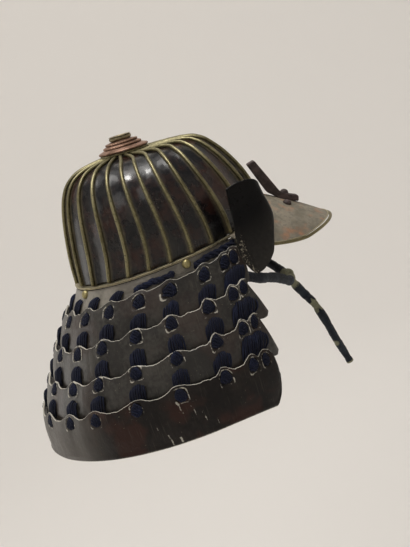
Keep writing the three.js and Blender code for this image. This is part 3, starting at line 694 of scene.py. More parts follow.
def edge_tube(size, sides):
    """A circle carried along the peak's edge."""
    return carried(*edge_path(size["reach"], size["height"]), circle(size["radius"], sides))


olive_rim = aged_brass(
    "olive_rim", (0.30, 0.26, 0.14), (0.17, 0.145, 0.075), (0.04, 0.036, 0.026), 0.56
)
rim_tube = new_mesh("peak_rim_tube", [edge_tube(RIM_TUBE, 16)], olive_rim)
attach(rim_tube, "root")
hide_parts("visor_rim")
rim_line = new_mesh("peak_rim_line", [edge_tube(RIM_LINE, 10)], gilt)
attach(rim_line, "root")

# ------------------------------------------------------------------------------------------------
# Crest holder: a forged iron bar, bent to the bowl's front and riveted to the peak by its foot,
# with two more rivets beside it.
# ------------------------------------------------------------------------------------------------

# The bar from the side: its corners, as how far forward and how high.
HOLDER = [
    (115, 51.2), (124.3, 52.7), (139.4, 9), (147, 3),
    (157.3, -2.8), (155.2, -9.4), (136.5, 1.5), (125.4, 13.5),
]
HOLDER_HALF = 6.5
HOLDER_EASE = {"deep": 1.1, "from": 0.84}
RIVET_RADIUS = 4.8
FOOT_RIVET = {"at": (0, -143.6, 5.05), "lean": 36.9, "high": 4, "slit": 0.9}
SIDE_RIVETS = {"angle": 17.0, "reach": 0.375, "high": 3.8}


def holder_bar():
    """The bar's outline, softened at its bends, at stations across its width. The outer ones are
    drawn in a little, by half an ellipse, so that its long edges are round."""
    outline = softened(HOLDER, 2.0, 5)
    nexts = np.roll(outline, -1, axis=0)
    way = nexts - np.roll(outline, 1, axis=0)
    area = np.sum(outline[:, 0] * nexts[:, 1] - outline[:, 1] * nexts[:, 0])
    inward = unit(np.stack([-way[:, 1], way[:, 0]], axis=-1)) * np.sign(area)
    t = np.linspace(-1, 1, 25)
    t = np.sign(t) * (1 - (1 - np.abs(t)) ** 2.2)
    out = np.clip((np.abs(t) - HOLDER_EASE["from"]) / 0.16, 0, 1)
    shrink = HOLDER_EASE["deep"] * (1 - np.sqrt(np.clip(1 - out**2, 0, 1)))
    drawn = outline[None] + inward[None] * shrink[:, None, None]
    return capped(place_of((t * HOLDER_HALF)[:, None], -drawn[..., 0], drawn[..., 1]))


def dark_iron():
    material, start, where = new_finish("dark_iron")
    broad = grain(where, 0.012, 4.0)
    fine = grain(where, 0.0014, 6.0, shift=3.0)
    colour = tint(rise(broad, 0.38, 0.62), (0.034, 0.022, 0.021), (0.080, 0.052, 0.050))
    colour = tint(rise(fine, 0.56, 0.72) * 0.5, colour, (0.16, 0.115, 0.095))
    height, rough = fine + broad * 0.6, 0.5 + fine * 0.3
    set_finish(material, height, 0.0004, Base_Color=colour, Roughness=rough, Metallic=0.2)
    return material


DOME_ROWS = 14
DOME_SIDES = 40


def dome(point, normal, radius, high, seat, slit=0.0):
    """Half an ellipsoid on a point: the radius times the cosine and the height times the sine of
    its rise, with a flat foot. A slit is pressed in across it as a narrow bell curve."""
    normal = unit(np.asarray(normal, float))
    side = unit(np.cross(normal, [0.2, 1, 0.1]))
    front = np.cross(normal, side)
    rise_turn = np.linspace(0, np.pi / 2, DOME_ROWS, endpoint=False)[:, None]
    turn = np.linspace(0, 2 * np.pi, DOME_SIDES, endpoint=False)[None, :]
    a = radius * np.cos(rise_turn) * np.cos(turn)
    b = radius * np.cos(rise_turn) * np.sin(turn)
    h = high * np.sin(rise_turn) + 0 * turn - slit * bell(a, 0.6) * np.sin(rise_turn)
    ends = [[0, 0, high - slit], [0, 0, 0]]
    flat = np.concatenate([np.stack([a, b, h], axis=-1).reshape(-1, 3), ends])
    last = DOME_ROWS * DOME_SIDES
    ring = np.arange(DOME_SIDES)
    beside = (ring + 1) % DOME_SIDES
    up = last - DOME_SIDES
    tip = np.stack([up + ring, up + beside, 0 * ring + last], axis=-1)
    foot = np.stack([beside, ring, 0 * ring + last + 1], axis=-1)
    points = point + normal * seat + flat @ np.stack([side, front, normal])
    return points, facing_out(points, [net(DOME_ROWS, DOME_SIDES, False, True), tip, foot]), {}


iron = dark_iron()
bar = new_mesh("crest_bar", [holder_bar()], iron)
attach(bar, "root")
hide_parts("crest_holder")

lean = math.radians(FOOT_RIVET["lean"])
foot_way = (0, -math.sin(lean), math.cos(lean))
foot_size = (RIVET_RADIUS, FOOT_RIVET["high"], 0.5, FOOT_RIVET["slit"])
bar_rivets = {"foot": dome(np.array(FOOT_RIVET["at"]), foot_way, *foot_size)}
for hand, side in (("right", -1), ("left", 1)):
    spot = np.array([side * SIDE_RIVETS["angle"]]), np.array([SIDE_RIVETS["reach"]])
    stem = visor_over(*spot, np.array([VISOR["wall"]]))[0], visor_up(*spot)[0]
    bar_rivets[hand] = dome(*stem, RIVET_RADIUS, SIDE_RIVETS["high"], 0.3)
for hand, shape in bar_rivets.items():
    rivet = new_mesh("crest_bar_rivet_" + hand, [shape], iron)
    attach(rivet, "root")
    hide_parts("crest_holder_rivet_" + hand)

# ------------------------------------------------------------------------------------------------
# Neck guard: a band riveted under the bowl's rim and four lacquered lames below it, each with a
# wavy top edge that is rubbed and painted with a highlight, and a hole with a raised lip for each
# lace.
# ------------------------------------------------------------------------------------------------

# Level rows of the guard: the rim, the lacing rows of its four lames, and its bottom edge.
NECK = {
    "back": (114, 142, 165, 187, 207, 215),
    "back_z": (-3.5, -37, -65, -98, -128, -165),
    "side": (98, 106, 118, 130, 140, 147),
    "side_z": (-3.5, -24, -57, -90, -122, -169),
    "front": (72, 72, 70, 67, 63, 55),
    "front_z": (-3.5, -19, -53, -89, -130, -182),
    "front_side": (74, 91, 100, 108, 113, 116),
    "middle": (2, 16, 20, 20, 20, 20),
}
NECK_TURN = 60
LAME_WALL = 2
# The band and the lames: edges in rows of that table, how far they stand off its surface at each
# edge, the angle of their ends, and by how many rows the bottom edge rises there, or, where the
# number is under 0, falls.
LAMES = [
    {"name": "neck_band", "rows": (0, 0.8), "stand": (0, -3.6), "end": 149, "round": 0},
    {"name": "neck_lame_1", "rows": (0.65, 1.9), "stand": (4.5, -2), "end": 149, "round": 0.05},
    {"name": "neck_lame_2", "rows": (1.76, 2.9), "stand": (4.5, -2), "end": 147.5, "round": -0.22},
    {"name": "neck_lame_3", "rows": (2.77, 3.9), "stand": (4.5, -2), "end": 147.5, "round": -0.22},
    {"name": "neck_lame_4", "rows": (3.77, 5), "stand": (4.5, 1), "end": 147.5, "round": 0.4},
]
CORNER_TURN = 6.5
TIP_TURN = 2.2
TIP_ROUND = {"top": 0.05, "bottom": 0.2}
LAME_BULGE = 1.6
LAME_COLUMNS = 601
LAME_ROWS = 34
# The front ends slant: past an angle, degrees by which each plate's top and bottom edge swing.
SLANT_FROM = 144
SLANTS = [(0, 0), (-1, 0), (-3, 7), (-3, 6.5), (-1.5, 1.5)]
# Columns of lacing: their angles at the first lame and at the last, and their share of the width.
LACE_FIRST = np.array([0, 24, 41.7, 58.5, 75, 91, 117, 134, 141.5])
LACE_LAST = np.array([0, 21.8, 38.3, 51.5, 68, 83.3, 108.5, 130.2, 140])
LACE_SHARE = np.array([1, 1, 1, 1, 1, 1, 1, 0.85, 0.66])
KNOT_ROW = -0.075
# Half a lace hole's width, half its height, and the least that a narrow one keeps, in millimetres.
HOLE = {"wide": 6.2, "high": 6.7, "least": 0.4}
SCALLOP = {"rise": 0.085, "turn": 7}


def neck_point(angle, row):
    """Half an ellipse round the back, and past the sides a nearly straight run to the front, whose
    width goes with its share to the power 1.8 and its height with the share squared."""
    turn = np.abs(angle)
    lines = (along(column, row) for column in NECK.values())
    back, back_z, side, side_z, front, front_z, front_side, middle = lines
    c, s = np.cos(np.radians(np.minimum(turn, 90))), np.sin(np.radians(np.minimum(turn, 90)))
    d = np.clip((turn - 90) / NECK_TURN, 0, None)
    x = side * s + (front_side - side) * d**1.8
    y = middle + (back - middle) * c - (middle + front) * d
    z = side_z + (back_z - side_z) * c * c + (front_z - side_z) * d * d
    return place_of(np.sign(angle) * x, y, z)


def lace_angles(row):
    return LACE_FIRST + (LACE_LAST - LACE_FIRST) * (row - 1) / 3


def waves(x, seed, fine=1.0):
    """A smooth random line: seven sines of rising pitch and falling size, with seeded phases."""
    pitch = fine * 1.7 ** np.arange(7)
    phase = np.random.default_rng(seed).uniform(0, 2 * np.pi, 7)
    return np.sum(np.sin(np.asarray(x)[..., None] * pitch + phase) / pitch**0.6, axis=-1)


def edge_rows(k, angle):
    """A plate's top and bottom rows: the top rises by a cosine over each lace, with small nicks,
    and the bottom rises or falls towards its ends by a square. A quarter ellipse rounds the tips
    of both."""
    lame = LAMES[k]
    turn = np.abs(angle)
    top, bottom = (row + 0 * turn for row in lame["rows"])
    if k:
        nearest = np.min(np.abs(turn[..., None] - lace_angles(k)), axis=-1)
        top = top - SCALLOP["rise"] * np.cos(np.minimum(nearest / SCALLOP["turn"], 1) * np.pi)
        top = top + 0.006 * waves(angle, k, 0.35)
    corner = np.clip((turn - lame["end"]) / CORNER_TURN + 1, 0, None)
    tip = np.clip((turn - lame["end"]) / TIP_TURN + 1, 0, 1)
    tip = 1 - np.sqrt(np.clip(1 - tip**2, 0, 1))
    tip = tip if k else 0 * tip
    bottom = bottom - lame["round"] * corner**2
    return top + TIP_ROUND["top"] * tip, bottom - TIP_ROUND["bottom"] * tip


def plate_point(k, angle, drop, height):
    """The line between a plate's two edges, bulged by a sine. Each edge is stood off the guard's
    surface and swung by its slant, which grows evenly towards the plate's end."""
    stand, end = LAMES[k]["stand"], LAMES[k]["end"]
    height = height + (LAME_BULGE if k else 0) * np.sin(np.pi * np.clip(drop, 0, 1))
    top, bottom = edge_rows(k, angle)
    share = np.clip((np.abs(angle) - SLANT_FROM) / (end - SLANT_FROM), 0, None) * np.sign(angle)
    high = over(neck_point, angle + share * SLANTS[k][0], top, stand[0] + height)
    low = over(neck_point, angle + share * SLANTS[k][1], bottom, stand[1] + height)
    drop = np.asarray(drop)[..., None]
    return high * (1 - drop) + low * drop


def drop_of(k, angle, row):
    top, bottom = edge_rows(k, angle)
    return (row - top) / (bottom - top)


def one_degree(k, angle, drop):
    """The step across a plate over one degree."""
    none = 0 * angle
    return plate_point(k, angle + 0.5, drop, none) - plate_point(k, angle - 0.5, drop, none)


def full_drop(k, angle):
    """The step from a plate's top edge to its bottom one."""
    none = 0 * angle
    return plate_point(k, angle, none + 1, none) - plate_point(k, angle, none, none)


def hole_distance(k, angle, drop):
    """How far each place is from the nearest lace hole's middle, where 1 is on its squarish edge:
    the fourth root of the sum of the fourth powers of the two distances over its half sizes."""
    if k == 0:
        return 9 + 0 * angle, 0 * angle
    places = lace_angles(k)
    signed = np.concatenate([-places[:0:-1], places])
    share = np.concatenate([LACE_SHARE[:0:-1], LACE_SHARE])
    middle = drop_of(k, signed, k + KNOT_ROW)
    high = np.linalg.norm(full_drop(k, signed), axis=-1)
    wide = np.linalg.norm(one_degree(k, signed, middle), axis=-1)
    across = (angle[..., None] - signed) * wide / (HOLE["wide"] * share + HOLE["least"])
    down = (drop[..., None] - middle) * high / HOLE["high"]
    near = (across**4 + down**4) ** 0.25
    nearest = np.argmin(near, axis=-1)[..., None]
    pick = lambda values: np.take_along_axis(values, nearest, axis=-1)[..., 0]
    return pick(near), np.arctan2(pick(down), pick(across)) + pick(signed + 0 * across) * 0.7


# Scratches down the last lame, on the right side alone: their angle, the places of their two ends
# down the plate, and their width in degrees.
SCRATCHES = [
    (-80.5, 0.24, 0.50, 0.3), (-84, 0.38, 0.60, 0.35), (-86, 0.52, 0.72, 0.3),
    (-73, 0.74, 0.97, 0.35), (-76, 0.84, 0.95, 0.5), (-68, 0.10, 0.22, 0.3),
    (-71, 0.5, 0.62, 0.3), (-90, 0.7, 0.88, 0.3),
]


def lame_plate(k):
    """A plate's section, sunk inside each lace hole and raised by a lumpy lip round it, along its
    length. The last one also has a bead along its foot. Its marks are its rubbed places, which
    also carry a painted highlight along its edges and lips, and the way along and down it in
    metres."""
    last = k == len(LAMES) - 1
    columns = np.linspace(-LAMES[k]["end"], LAMES[k]["end"], LAME_COLUMNS)
    places, heights = plate_outline(LAME_WALL, 0.026, LAME_ROWS)
    angle, drop, height = pane(columns, (places, heights))
    near, bearing = hole_distance(k, angle, drop)
    outer = (np.arange(len(places)) < LAME_ROWS)[None] * 1.0
    lumps = 0.8 + 0.5 * waves(bearing * 1.5, 11 + k) / 2
    sunk = np.clip((1.02 - near) / 0.2, 0, 1)
    sunk = sunk * sunk * (3 - 2 * sunk)
    lip = bell(near - 1.16, 0.13) * np.clip(lumps, 0.1, 1.4)
    dents = 0.25 * waves(angle * 0.11, k) + 0.2 * waves(drop * 5 + angle * 0.02, 30 + k)
    relief = outer * (-1.1 * sunk + 0.75 * lip + dents * 0.5)
    if last:
        relief += outer * 0.9 * bell(drop - 0.955, 0.028)
    points = plate_point(k, angle, drop, height + relief)
    high = np.linalg.norm(full_drop(k, angle), axis=-1)
    fall = drop * high / 1000
    line = plate_point(k, columns, 0.5 + 0 * columns, 0 * columns)
    run = np.cumsum(np.linalg.norm(np.diff(line, axis=0, prepend=line[:1]), axis=-1))
    run = (run[:, None] - run[LAME_COLUMNS // 2]) / 1000 + 0 * fall
    # Bright lines along the top and bottom edges and round the lace holes' lips: partly rubbed
    # wear, partly a painted highlight.
    top_edge_wear_and_highlight = bell(fall * 1000, 0.85) * (1 if k else 0.2)
    bottom_edge_wear_and_highlight = bell((high / 1000 - fall) * 1000, 1.6) * (0.8 if last else 0.3)
    rubbed = top_edge_wear_and_highlight + bottom_edge_wear_and_highlight + 0.82 * outer * lip
    for at, high_end, low_end, wide in SCRATCHES if last else ():
        rubbed += 0.8 * (drop > high_end) * (drop < low_end) * bell(angle - at + 3 * drop, wide)
    way = place_of(run, fall, 0 * run + k).reshape(-1, 3)
    return capped(points, {"rubbed": np.clip(rubbed, 0, 1).ravel(), "way": way})


def lame_lacquer(name, dark, pale, red_share, edge_wear_and_highlight, gloss, back_sheen):
    """Lacquer over iron: streaked down the plate, red-brown where its top coat is thin, and pale
    along its edges and lips, partly where it is rubbed through and partly as a painted highlight.
    Gloss is how much its coat shines, and the last number is how strongly its back, within 17 cm
    of the middle, is painted grey as a sheen."""
    material, start, where = new_finish(name)
    rubbed, way = marked(start, "rubbed"), marked(start, "way", "Vector")
    broad = grain(where, 0.045, 3.0, shift=2.0)
    fine = grain(where, 0.004, 6.0, shift=5.0)
    streaks = grain(way, 0.0016, 3.0, (1, 14, 1), 1.0)
    chips = grain(where, 0.0022, 4.0, shift=8.0)
    colour = tint(rise(broad * 0.7 + fine * 0.3, 0.38, 0.62), dark, pale)
    thin = rise(grain(where, 0.05, 4.0, shift=11.0), 0.5, 0.62)
    colour = tint(thin * red_share, colour, (0.035, 0.013, 0.009))
    colour = tint(rise(streaks, 0.58, 0.76) * 0.28, colour, (0.10, 0.088, 0.068))
    run = start.maths("ABSOLUTE", way.node("ShaderNodeSeparateXYZ", {}, {"Vector": way}, "X"))
    # Painted sheen: a plate's back, within 17 cm of the middle, is painted a lighter grey that
    # fades towards its sides.
    painted_back_sheen = rise(0.17 - run, 0.0, 0.06) * back_sheen * (0.5 + broad)
    colour = tint(painted_back_sheen, colour, (0.13, 0.12, 0.108))
    # Pale lines along the edges and lips: partly rubbed-through lacquer, partly a painted
    # highlight.
    worn = rise(rubbed * 0.75 + chips * 0.55 + broad * 0.45, 0.84, 1.12)
    colour = tint(worn * edge_wear_and_highlight, colour, (0.60, 0.57, 0.49))
    colour = tint(rise(chips, 0.70, 0.76) * 0.5, colour, (0.36, 0.31, 0.2))
    rough = 0.30 + fine * 0.22 + worn * 0.2
    height = fine * 0.7 + streaks * 0.3 + chips * 0.35
    height = height + grain(where, 0.015, 2.0, shift=4.0) * 2
    set_finish(material, height, 0.0005, Base_Color=colour, Roughness=rough,
               Specular_IOR_Level=gloss, Coat_Weight=gloss, Coat_Roughness=0.22)
    return material


# Each coat's dark and pale colours, its share of red, how bright its edge lines are (partly wear,
# partly painted highlight), its gloss, and how strongly its back is painted grey as a sheen.
LAME_COATS = {
    "band_lacquer": ((0.165, 0.152, 0.128), (0.29, 0.268, 0.228), 0.15, 0.6, 0.35, 0.1),
    "lame_lacquer": ((0.014, 0.0130, 0.0118), (0.050, 0.046, 0.040), 0.35, 0.85, 0.36, 0.03),
    "last_lame_lacquer": ((0.007, 0.0055, 0.0052), (0.018, 0.014, 0.012), 0.85, 0.8, 0.18, 0.75),
}
band_coat, lame_coat, last_coat = (lame_lacquer(name, *look) for name, look in LAME_COATS.items())
lame_coats = [band_coat, lame_coat, lame_coat, lame_coat, last_coat]
for k, (lame, coat) in enumerate(zip(LAMES, lame_coats)):
    plate = new_mesh(lame["name"].replace("neck", "guard"), [lame_plate(k)], coat)
    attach(plate, "root")
    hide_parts(lame["name"])

# ------------------------------------------------------------------------------------------------
# Band rivets: two domed brass heads on each side that hold the band to the bowl.
# ------------------------------------------------------------------------------------------------

# Each rivet's angle, and its place down the band.
BAND_RIVETS = [(30.0, 0.14), (103.6, 0.22)]
BAND_RIVET_SIZE = (4.9, 4.2, 0.2)

rivet_brass = aged_brass(
    "rivet_brass", (0.36, 0.31, 0.15), (0.24, 0.205, 0.095), (0.08, 0.07, 0.035), 0.4
)
for side, hand in ((-1, "right"), (1, "left")):
    for number, (angle, drop) in enumerate(BAND_RIVETS, 1):
        spot = np.array([side * angle]), np.array([drop])
        out = np.cross(one_degree(0, *spot), full_drop(0, spot[0]))[0]
        head = dome(plate_point(0, *spot, np.zeros(1))[0], out, *BAND_RIVET_SIZE)
        rivet = new_mesh(f"band_rivet_{hand}_{number}", [head], rivet_brass)
        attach(rivet, "root")
        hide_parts(f"neck_band_rivet_{hand}_{number}")

# ------------------------------------------------------------------------------------------------
# Lacing: navy silk braid that hangs each lame from the one above. On every lame it shows twice: as
# a crossed knot in its hole, and lower down as a bundle of cords that drops behind the next lame.
# ------------------------------------------------------------------------------------------------

LACE_HIGH = 13.08
STRAND = 1.12
KNOT_WIDE = 11.6
# The ropes on the band, by column: the angles and the rows that they run between.
ROPES = {4: (71, 93, 0.42, 0.38), 6: (111, 146, 0.40, 0.34)}
ROPE = {"strand": 1.95, "twist": 3.4}


def local_scale(k, angle, drop):
    """Millimetres of a plate for each degree across and for its whole drop, at one place."""
    angle, drop = np.atleast_1d(angle), np.atleast_1d(drop)
    return np.linalg.norm(one_degree(k, angle, drop)), np.linalg.norm(full_drop(k, angle))


def on_plate(k, angle, drop, across, down, height):
    """Points given in millimetres across and down from a place on a plate, and over its face."""
    wide, high = local_scale(k, angle, drop)
    return plate_point(k, angle + across / wide, drop + down / high, height)


def strands(paths, outward, radius, sides=7):
    """Round cords carried along paths. Their marks run round and along each cord, in metres."""
    way = unit(np.gradient(paths, axis=1))
    across = unit(np.cross(way, outward))
    run = np.linalg.norm(np.diff(paths, axis=1, prepend=paths[:, :1]), axis=-1).cumsum(axis=1)
    ring = circle(1, sides)
    section = ring[None, None] * radius[..., None, None]
    marks = {"lay": place_of(ring[:, 0], ring[:, 1], run[..., None] / 1000)}
    return carried(paths, across, unit(np.cross(across, way)), section, marks=marks)


def laid_strands(k, angle, drop, across, down, height, radius, sides=7):
    """Cords laid on a plate, given in millimetres as on_plate has them."""
    paths = on_plate(k, angle, drop, across, down, height)
    outward = on_plate(k, angle, drop, across, down, height + 1) - paths
    return strands(paths, unit(outward), radius, sides)


def drop_bundle(k, angle, top, bottom, wide, lean, seed):
    """Cords side by side that come out of the plate, bow over it, and run down behind the next
    lame. Their spread and their height swell by a sine and a root, and each bows a little to one
    side by a sine of a random size."""
    dice = np.random.default_rng(seed)
    count = max(4, int(round(wide / 2.3)))
    s = np.linspace(0, 1, 16)[None, :]
    place = np.linspace(-1, 1, count)[:, None]
    drop_top, drop_bottom = (drop_of(k, np.array([angle]), row)[0] for row in (top, bottom))
    middle = (drop_top + drop_bottom) / 2
    _, high = local_scale(k, angle, middle)
    span = (drop_bottom - drop_top) * high
    each = (count, 1)
    bow = dice.uniform(-0.4, 0.4, each) * np.sin(np.pi * s) + dice.uniform(-0.3, 0.3, each)
    across = place * (wide / 2 - STRAND) * (0.9 + 0.1 * np.sin(np.pi * s)) + bow
    across = across + lean * (0.5 - s)
    down = (s - 0.5) * span + (2.4 * place**2 + dice.uniform(-0.6, 0.6, each)) * (1 - s)
    proud = 3.7 + dice.uniform(-0.3, 0.4, each) - 1.7 * place**2
    height = (proud + 1.6) * np.clip(s / 0.24, 0, 1) ** 0.5 - 1.6
    height = height - 1.5 * np.clip((s - 0.6) / 0.4, 0, 1)
    radius = STRAND * (1 + 0 * across) * (0.8 + 0.2 * np.sin(np.pi * np.clip(s * 1.3, 0, 1)))
    return laid_strands(k, angle, middle, across, down, height, radius)


def crossed_knot(k, angle, wide, seed):
    """Two layers of short cords that cross at a right angle. Each ends on a squarish outline, where
    it dives into the hole: its length is the outline's width there."""
    dice = np.random.default_rng(seed)
    drop = drop_of(k, np.array([angle]), k + KNOT_ROW)[0]
    s = np.linspace(-1, 1, 13)[None, :]
    layers = []
    for turn, base in ((0.85, 0.1), (-0.75, 0.75)):
        turn += dice.uniform(-0.15, 0.15)
        offset = np.linspace(-0.8, 0.8, 5)[:, None] + dice.uniform(-0.04, 0.04, (5, 1))
        reach = (1 - np.abs(offset) ** 2.6) ** (1 / 2.6)
        u = reach * s * math.sin(turn) + offset * math.cos(turn)
        v = reach * s * math.cos(turn) - offset * math.sin(turn)
        across, down = u * wide / 2, v * LACE_HIGH / 2
        weave = 0.3 * np.cos(np.pi * (s * 2.5 + np.arange(5)[:, None]))
        height = base + weave - 2.2 * np.abs(s) ** 5
        radius = 1.05 * (wide / 10.5) ** 0.5 + 0 * across
        layers.append(laid_strands(k, angle, drop, across, down, height, radius, 6))
    return layers


def band_rope(from_angle, to_angle, from_row, to_row, seed):
    """Three cords twisted round a line that slants along the band: each stands off the line by the
    cosine and sine of a turn that grows along it."""
    t = np.linspace(0, 1, 60)[None, :]
    phase = np.arange(3)[:, None] * 2 * np.pi / 3
    angle = from_angle + (to_angle - from_angle) * t + 0 * phase
    row = from_row + (to_row - from_row) * t + 0.022 * waves(t * 9, seed) + 0 * phase
    wide, high = local_scale(0, (from_angle + to_angle) / 2, 0.7)
    twist = np.sign(to_angle) * t * abs(to_angle - from_angle) * wide / ROPE["twist"] + phase
    drop = drop_of(0, angle, row) + 2.1 * np.cos(twist) / high
    sunk = 2.4 * np.abs(2 * t - 1) ** 12
    height = 2.6 + 1.8 * np.sin(twist) - sunk
    paths = plate_point(0, angle, drop, height)
    outward = plate_point(0, angle, drop, height + 1) - paths
    return strands(paths, unit(outward), ROPE["strand"] + 0 * drop)


def round_and_along(start):
    """A cord's lay as two links: the turn round it, and the way along it in metres."""
    lay = marked(start, "lay", "Vector")
    parts = [lay.node("ShaderNodeSeparateXYZ", {}, {"Vector": lay}, axis) for axis in "XYZ"]
    return start.maths("ARCTAN2", parts[1], parts[0]), parts[2]


def navy_silk():
    material, start, where = new_finish("navy_silk")
    turn, run = round_and_along(start)
    plait = start.maths("ABSOLUTE", start.maths("SINE", turn * 1.5 + run * 2600))
    other = start.maths("ABSOLUTE", start.maths("SINE", run * 2600 - turn * 1.5))
    plait = start.maths("MINIMUM", plait, other)
    fuzz = grain(where, 0.0011, 3.0)
    faded = rise(grain(where, 0.02, 4.0, shift=3.0), 0.5, 0.68)
    colour = tint(faded, (0.0035, 0.0068, 0.028), (0.009, 0.016, 0.056))
    colour = tint(rise(fuzz, 0.55, 0.75) * 0.25, colour, (0.026, 0.040, 0.105))
    # Painted shade: the grooves between the plait's strands are darkened.
    colour = tint((1 - plait) * 0.6, colour, (0.0015, 0.0025, 0.009))
    set_finish(material, plait * 0.9 + fuzz * 0.5, 0.0004, Base_Color=colour, Roughness=0.75,
               Specular_IOR_Level=0.3, Sheen_Weight=0.04, Sheen_Roughness=0.4)
    return material


silk = navy_silk()


def lace_column(number, side):
    """All the lacing of one column: its drop or rope on the band, and a knot on each lame with a
    drop below it. The two foremost columns share one wide drop on each of the upper lames."""
    share, shapes = LACE_SHARE[number], []
    seed = 100 * number + (50 if side > 0 else 0)
    lean = side * 2.6 * min(number, 6) / 6
    if number < 4:
        angle = side * lace_angles(0.5)[number]
        shapes.append(drop_bundle(0, angle, 0.24, 0.76, 16, 0.4 * lean, seed))
    elif number in ROPES:
        start, end, first_row, last_row = ROPES[number]
        shapes.append(band_rope(side * start, side * end, first_row, last_row, seed))
    for k in range(1, 5):
        angle = side * lace_angles(k)[number]
        shapes += crossed_knot(k, angle, KNOT_WIDE * share, seed + k)
        if k == 4 or number == 8:
            continue
        below = side * lace_angles(k + 0.4)
        if number == 7:
            size = (below[7] + below[8]) / 2, k + 0.22, k + 0.80, 22 + 3 * k, 2 * lean
        else:
            wide = 21 if number == 6 else 18.5 if number > 2 else 16.5
            size = below[number], k + 0.26, k + 0.80, wide, lean
        shapes.append(drop_bundle(k, *size, seed + 10 + k))
    return shapes


for number in range(9):
    for side, hand in ((0, "back"),) if number == 0 else ((-1, "right"), (1, "left")):
        label = hand if number == 0 else f"{hand}_{number}"
        braid = new_mesh("silk_" + label, lace_column(number, side or 1), silk)
        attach(braid, "root")
        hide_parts("lacing_" + label)

# ------------------------------------------------------------------------------------------------
# Ear flaps: the front ends of the guard's iron, folded outwards and back, near-black lacquer
# with a painted sheen of grey-brown towards the foot, a rubbed rim and a crusty worn strip along
# its rear edge.
# ------------------------------------------------------------------------------------------------

EAR = {
    "side": (93, 94, 97, 102, 107, 111, 113, 114),
    "forward": (72, 92, 105, 108.7, 106, 99, 88, 77),
    "top": (0, 22, 40, 44, 49.5, 52.5, 53.5, 51.5),
    "bottom": (-38, -30, -14, -2, -9, -27, -38.5, -41.5),
    "bow": (0, 0, -2, -3, -2.5, 0.5, 4.5, 9),
}
EAR_BOW_SAG = 1.9
EAR_WALL = 2


def ear_plate(side):
    """A sheet between a top line and a bottom line over the sections of the fold. Each section bows
    back by a sine of its place to a power, and the wall is laid inwards along the level normal."""
    fold = np.linspace(0, 7, 121)
    angle, place, height = pane(fold, plate_outline(EAR_WALL, 0.02, 44, 44))
    sideways, forward, top, bottom, bow = (along(EAR[c], angle) for c in EAR)
    inside = np.clip(place, 0, 1)
    sweep = 5 * np.clip((angle - 5) / 2, 0, 1) * inside**3
    bottom = bottom + 5.5 * np.clip((angle - 6.4) / 0.6, 0, 1) ** 3
    forward = forward - bow * np.sin(np.pi * inside**EAR_BOW_SAG) - sweep
    ease = along(EAR["side"], angle + 0.05) - along(EAR["side"], angle - 0.05)
    advance = along(EAR["forward"], angle + 0.05) - along(EAR["forward"], angle - 0.05)
    out = unit(place_of(advance, ease, 0 * ease))
    dish = 1.2 * np.sin(np.pi * place) * np.clip((angle - 3) / 2, 0, 1)
    flat = height - dish
    level = top + (bottom - top) * place
    points = place_of(sideways + out[..., 0] * flat, -forward + out[..., 1] * flat, level)
    points = points * np.array([side, 1, 1])
    face = np.where(height > -1, 1.0, -1.0)
    ends = np.minimum(place, 1 - place) * (top - bottom)
    rear = (7 - angle) * 11.0
    low = np.clip((place - 0.35) / 0.25, 0, 1)
    rim = np.maximum(bell(ends, 1.2) * 0.8, bell(rear, 1.2) * low)
    crust = bell(rear - 3.4, 1.2 + 3.0 * low) * low
    # Painted sheen: the lower rear part of the flap, which the lacquer paints a lighter grey-brown.
    painted_foot_sheen = np.clip((place - 0.4) / 0.55, 0, 1) * np.clip((angle - 2.5) / 2, 0, 1)
    rough_crust = crust * face * (0.35 + 0.3 * waves(place * 34 + rear * 1.3, 77))
    points = points + place_of(out[..., 0] * side, out[..., 1], 0 * ease) * rough_crust[..., None]
    return capped(points, {"rim": rim.ravel(), "crust": crust.ravel(), "foot": painted_foot_sheen.ravel()})


def ear_lacquer():
    material, start, where = new_finish("ear_lacquer")
    rim, crust, foot = (marked(start, mark) for mark in ("rim", "crust", "foot"))
    broad = grain(where, 0.03, 3.0)
    fine = grain(where, 0.0035, 6.0, shift=5.0)
    chips = grain(where, 0.0018, 4.0, shift=8.0)
    colour = tint(rise(broad, 0.4, 0.65) * 0.5, (0.003, 0.003, 0.0035), (0.007, 0.006, 0.006))
    # Painted sheen: lighter grey-brown towards the foot of the flap.
    colour = tint(foot * (0.3 + 0.7 * fine), colour, (0.045, 0.042, 0.038))
    colour = tint(rise(crust * 0.32 + chips * 0.8, 0.70, 0.86), colour, (0.30, 0.27, 0.21))
    colour = tint(rise(rim * 0.45 + chips * 0.8, 0.78, 1.05) * 0.8, colour, (0.30, 0.28, 0.21))
    colour = tint(rise(chips, 0.74, 0.80) * 0.4, colour, (0.16, 0.14, 0.11))
    rough = 0.2 + fine * 0.2 + foot * 0.2 + crust * 0.3
    set_finish(material, fine * 0.5 + chips * crust * 3, 0.0004, Base_Color=colour, Roughness=rough,
               Specular_IOR_Level=0.12, Coat_Weight=0.03, Coat_Roughness=0.12)
    return material


black_lacquer = ear_lacquer()
for side, hand in ((-1, "right"), (1, "left")):
    ear = new_mesh("flap_" + hand, [ear_plate(side)], black_lacquer)
    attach(ear, "root")
    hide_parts("ear_" + hand)

# ------------------------------------------------------------------------------------------------
# Chin cord: a padded tube of navy cloth in one loop, which runs round inside the band, through
# three keepers, and under the chin to a knot. Its free end is torn, with the wadding showing.
# ------------------------------------------------------------------------------------------------

CORD_RADIUS = 5.5
CORD_PLUMP = 0.25
CLOTH_SIDES = 28
LOOP_STEPS = 9
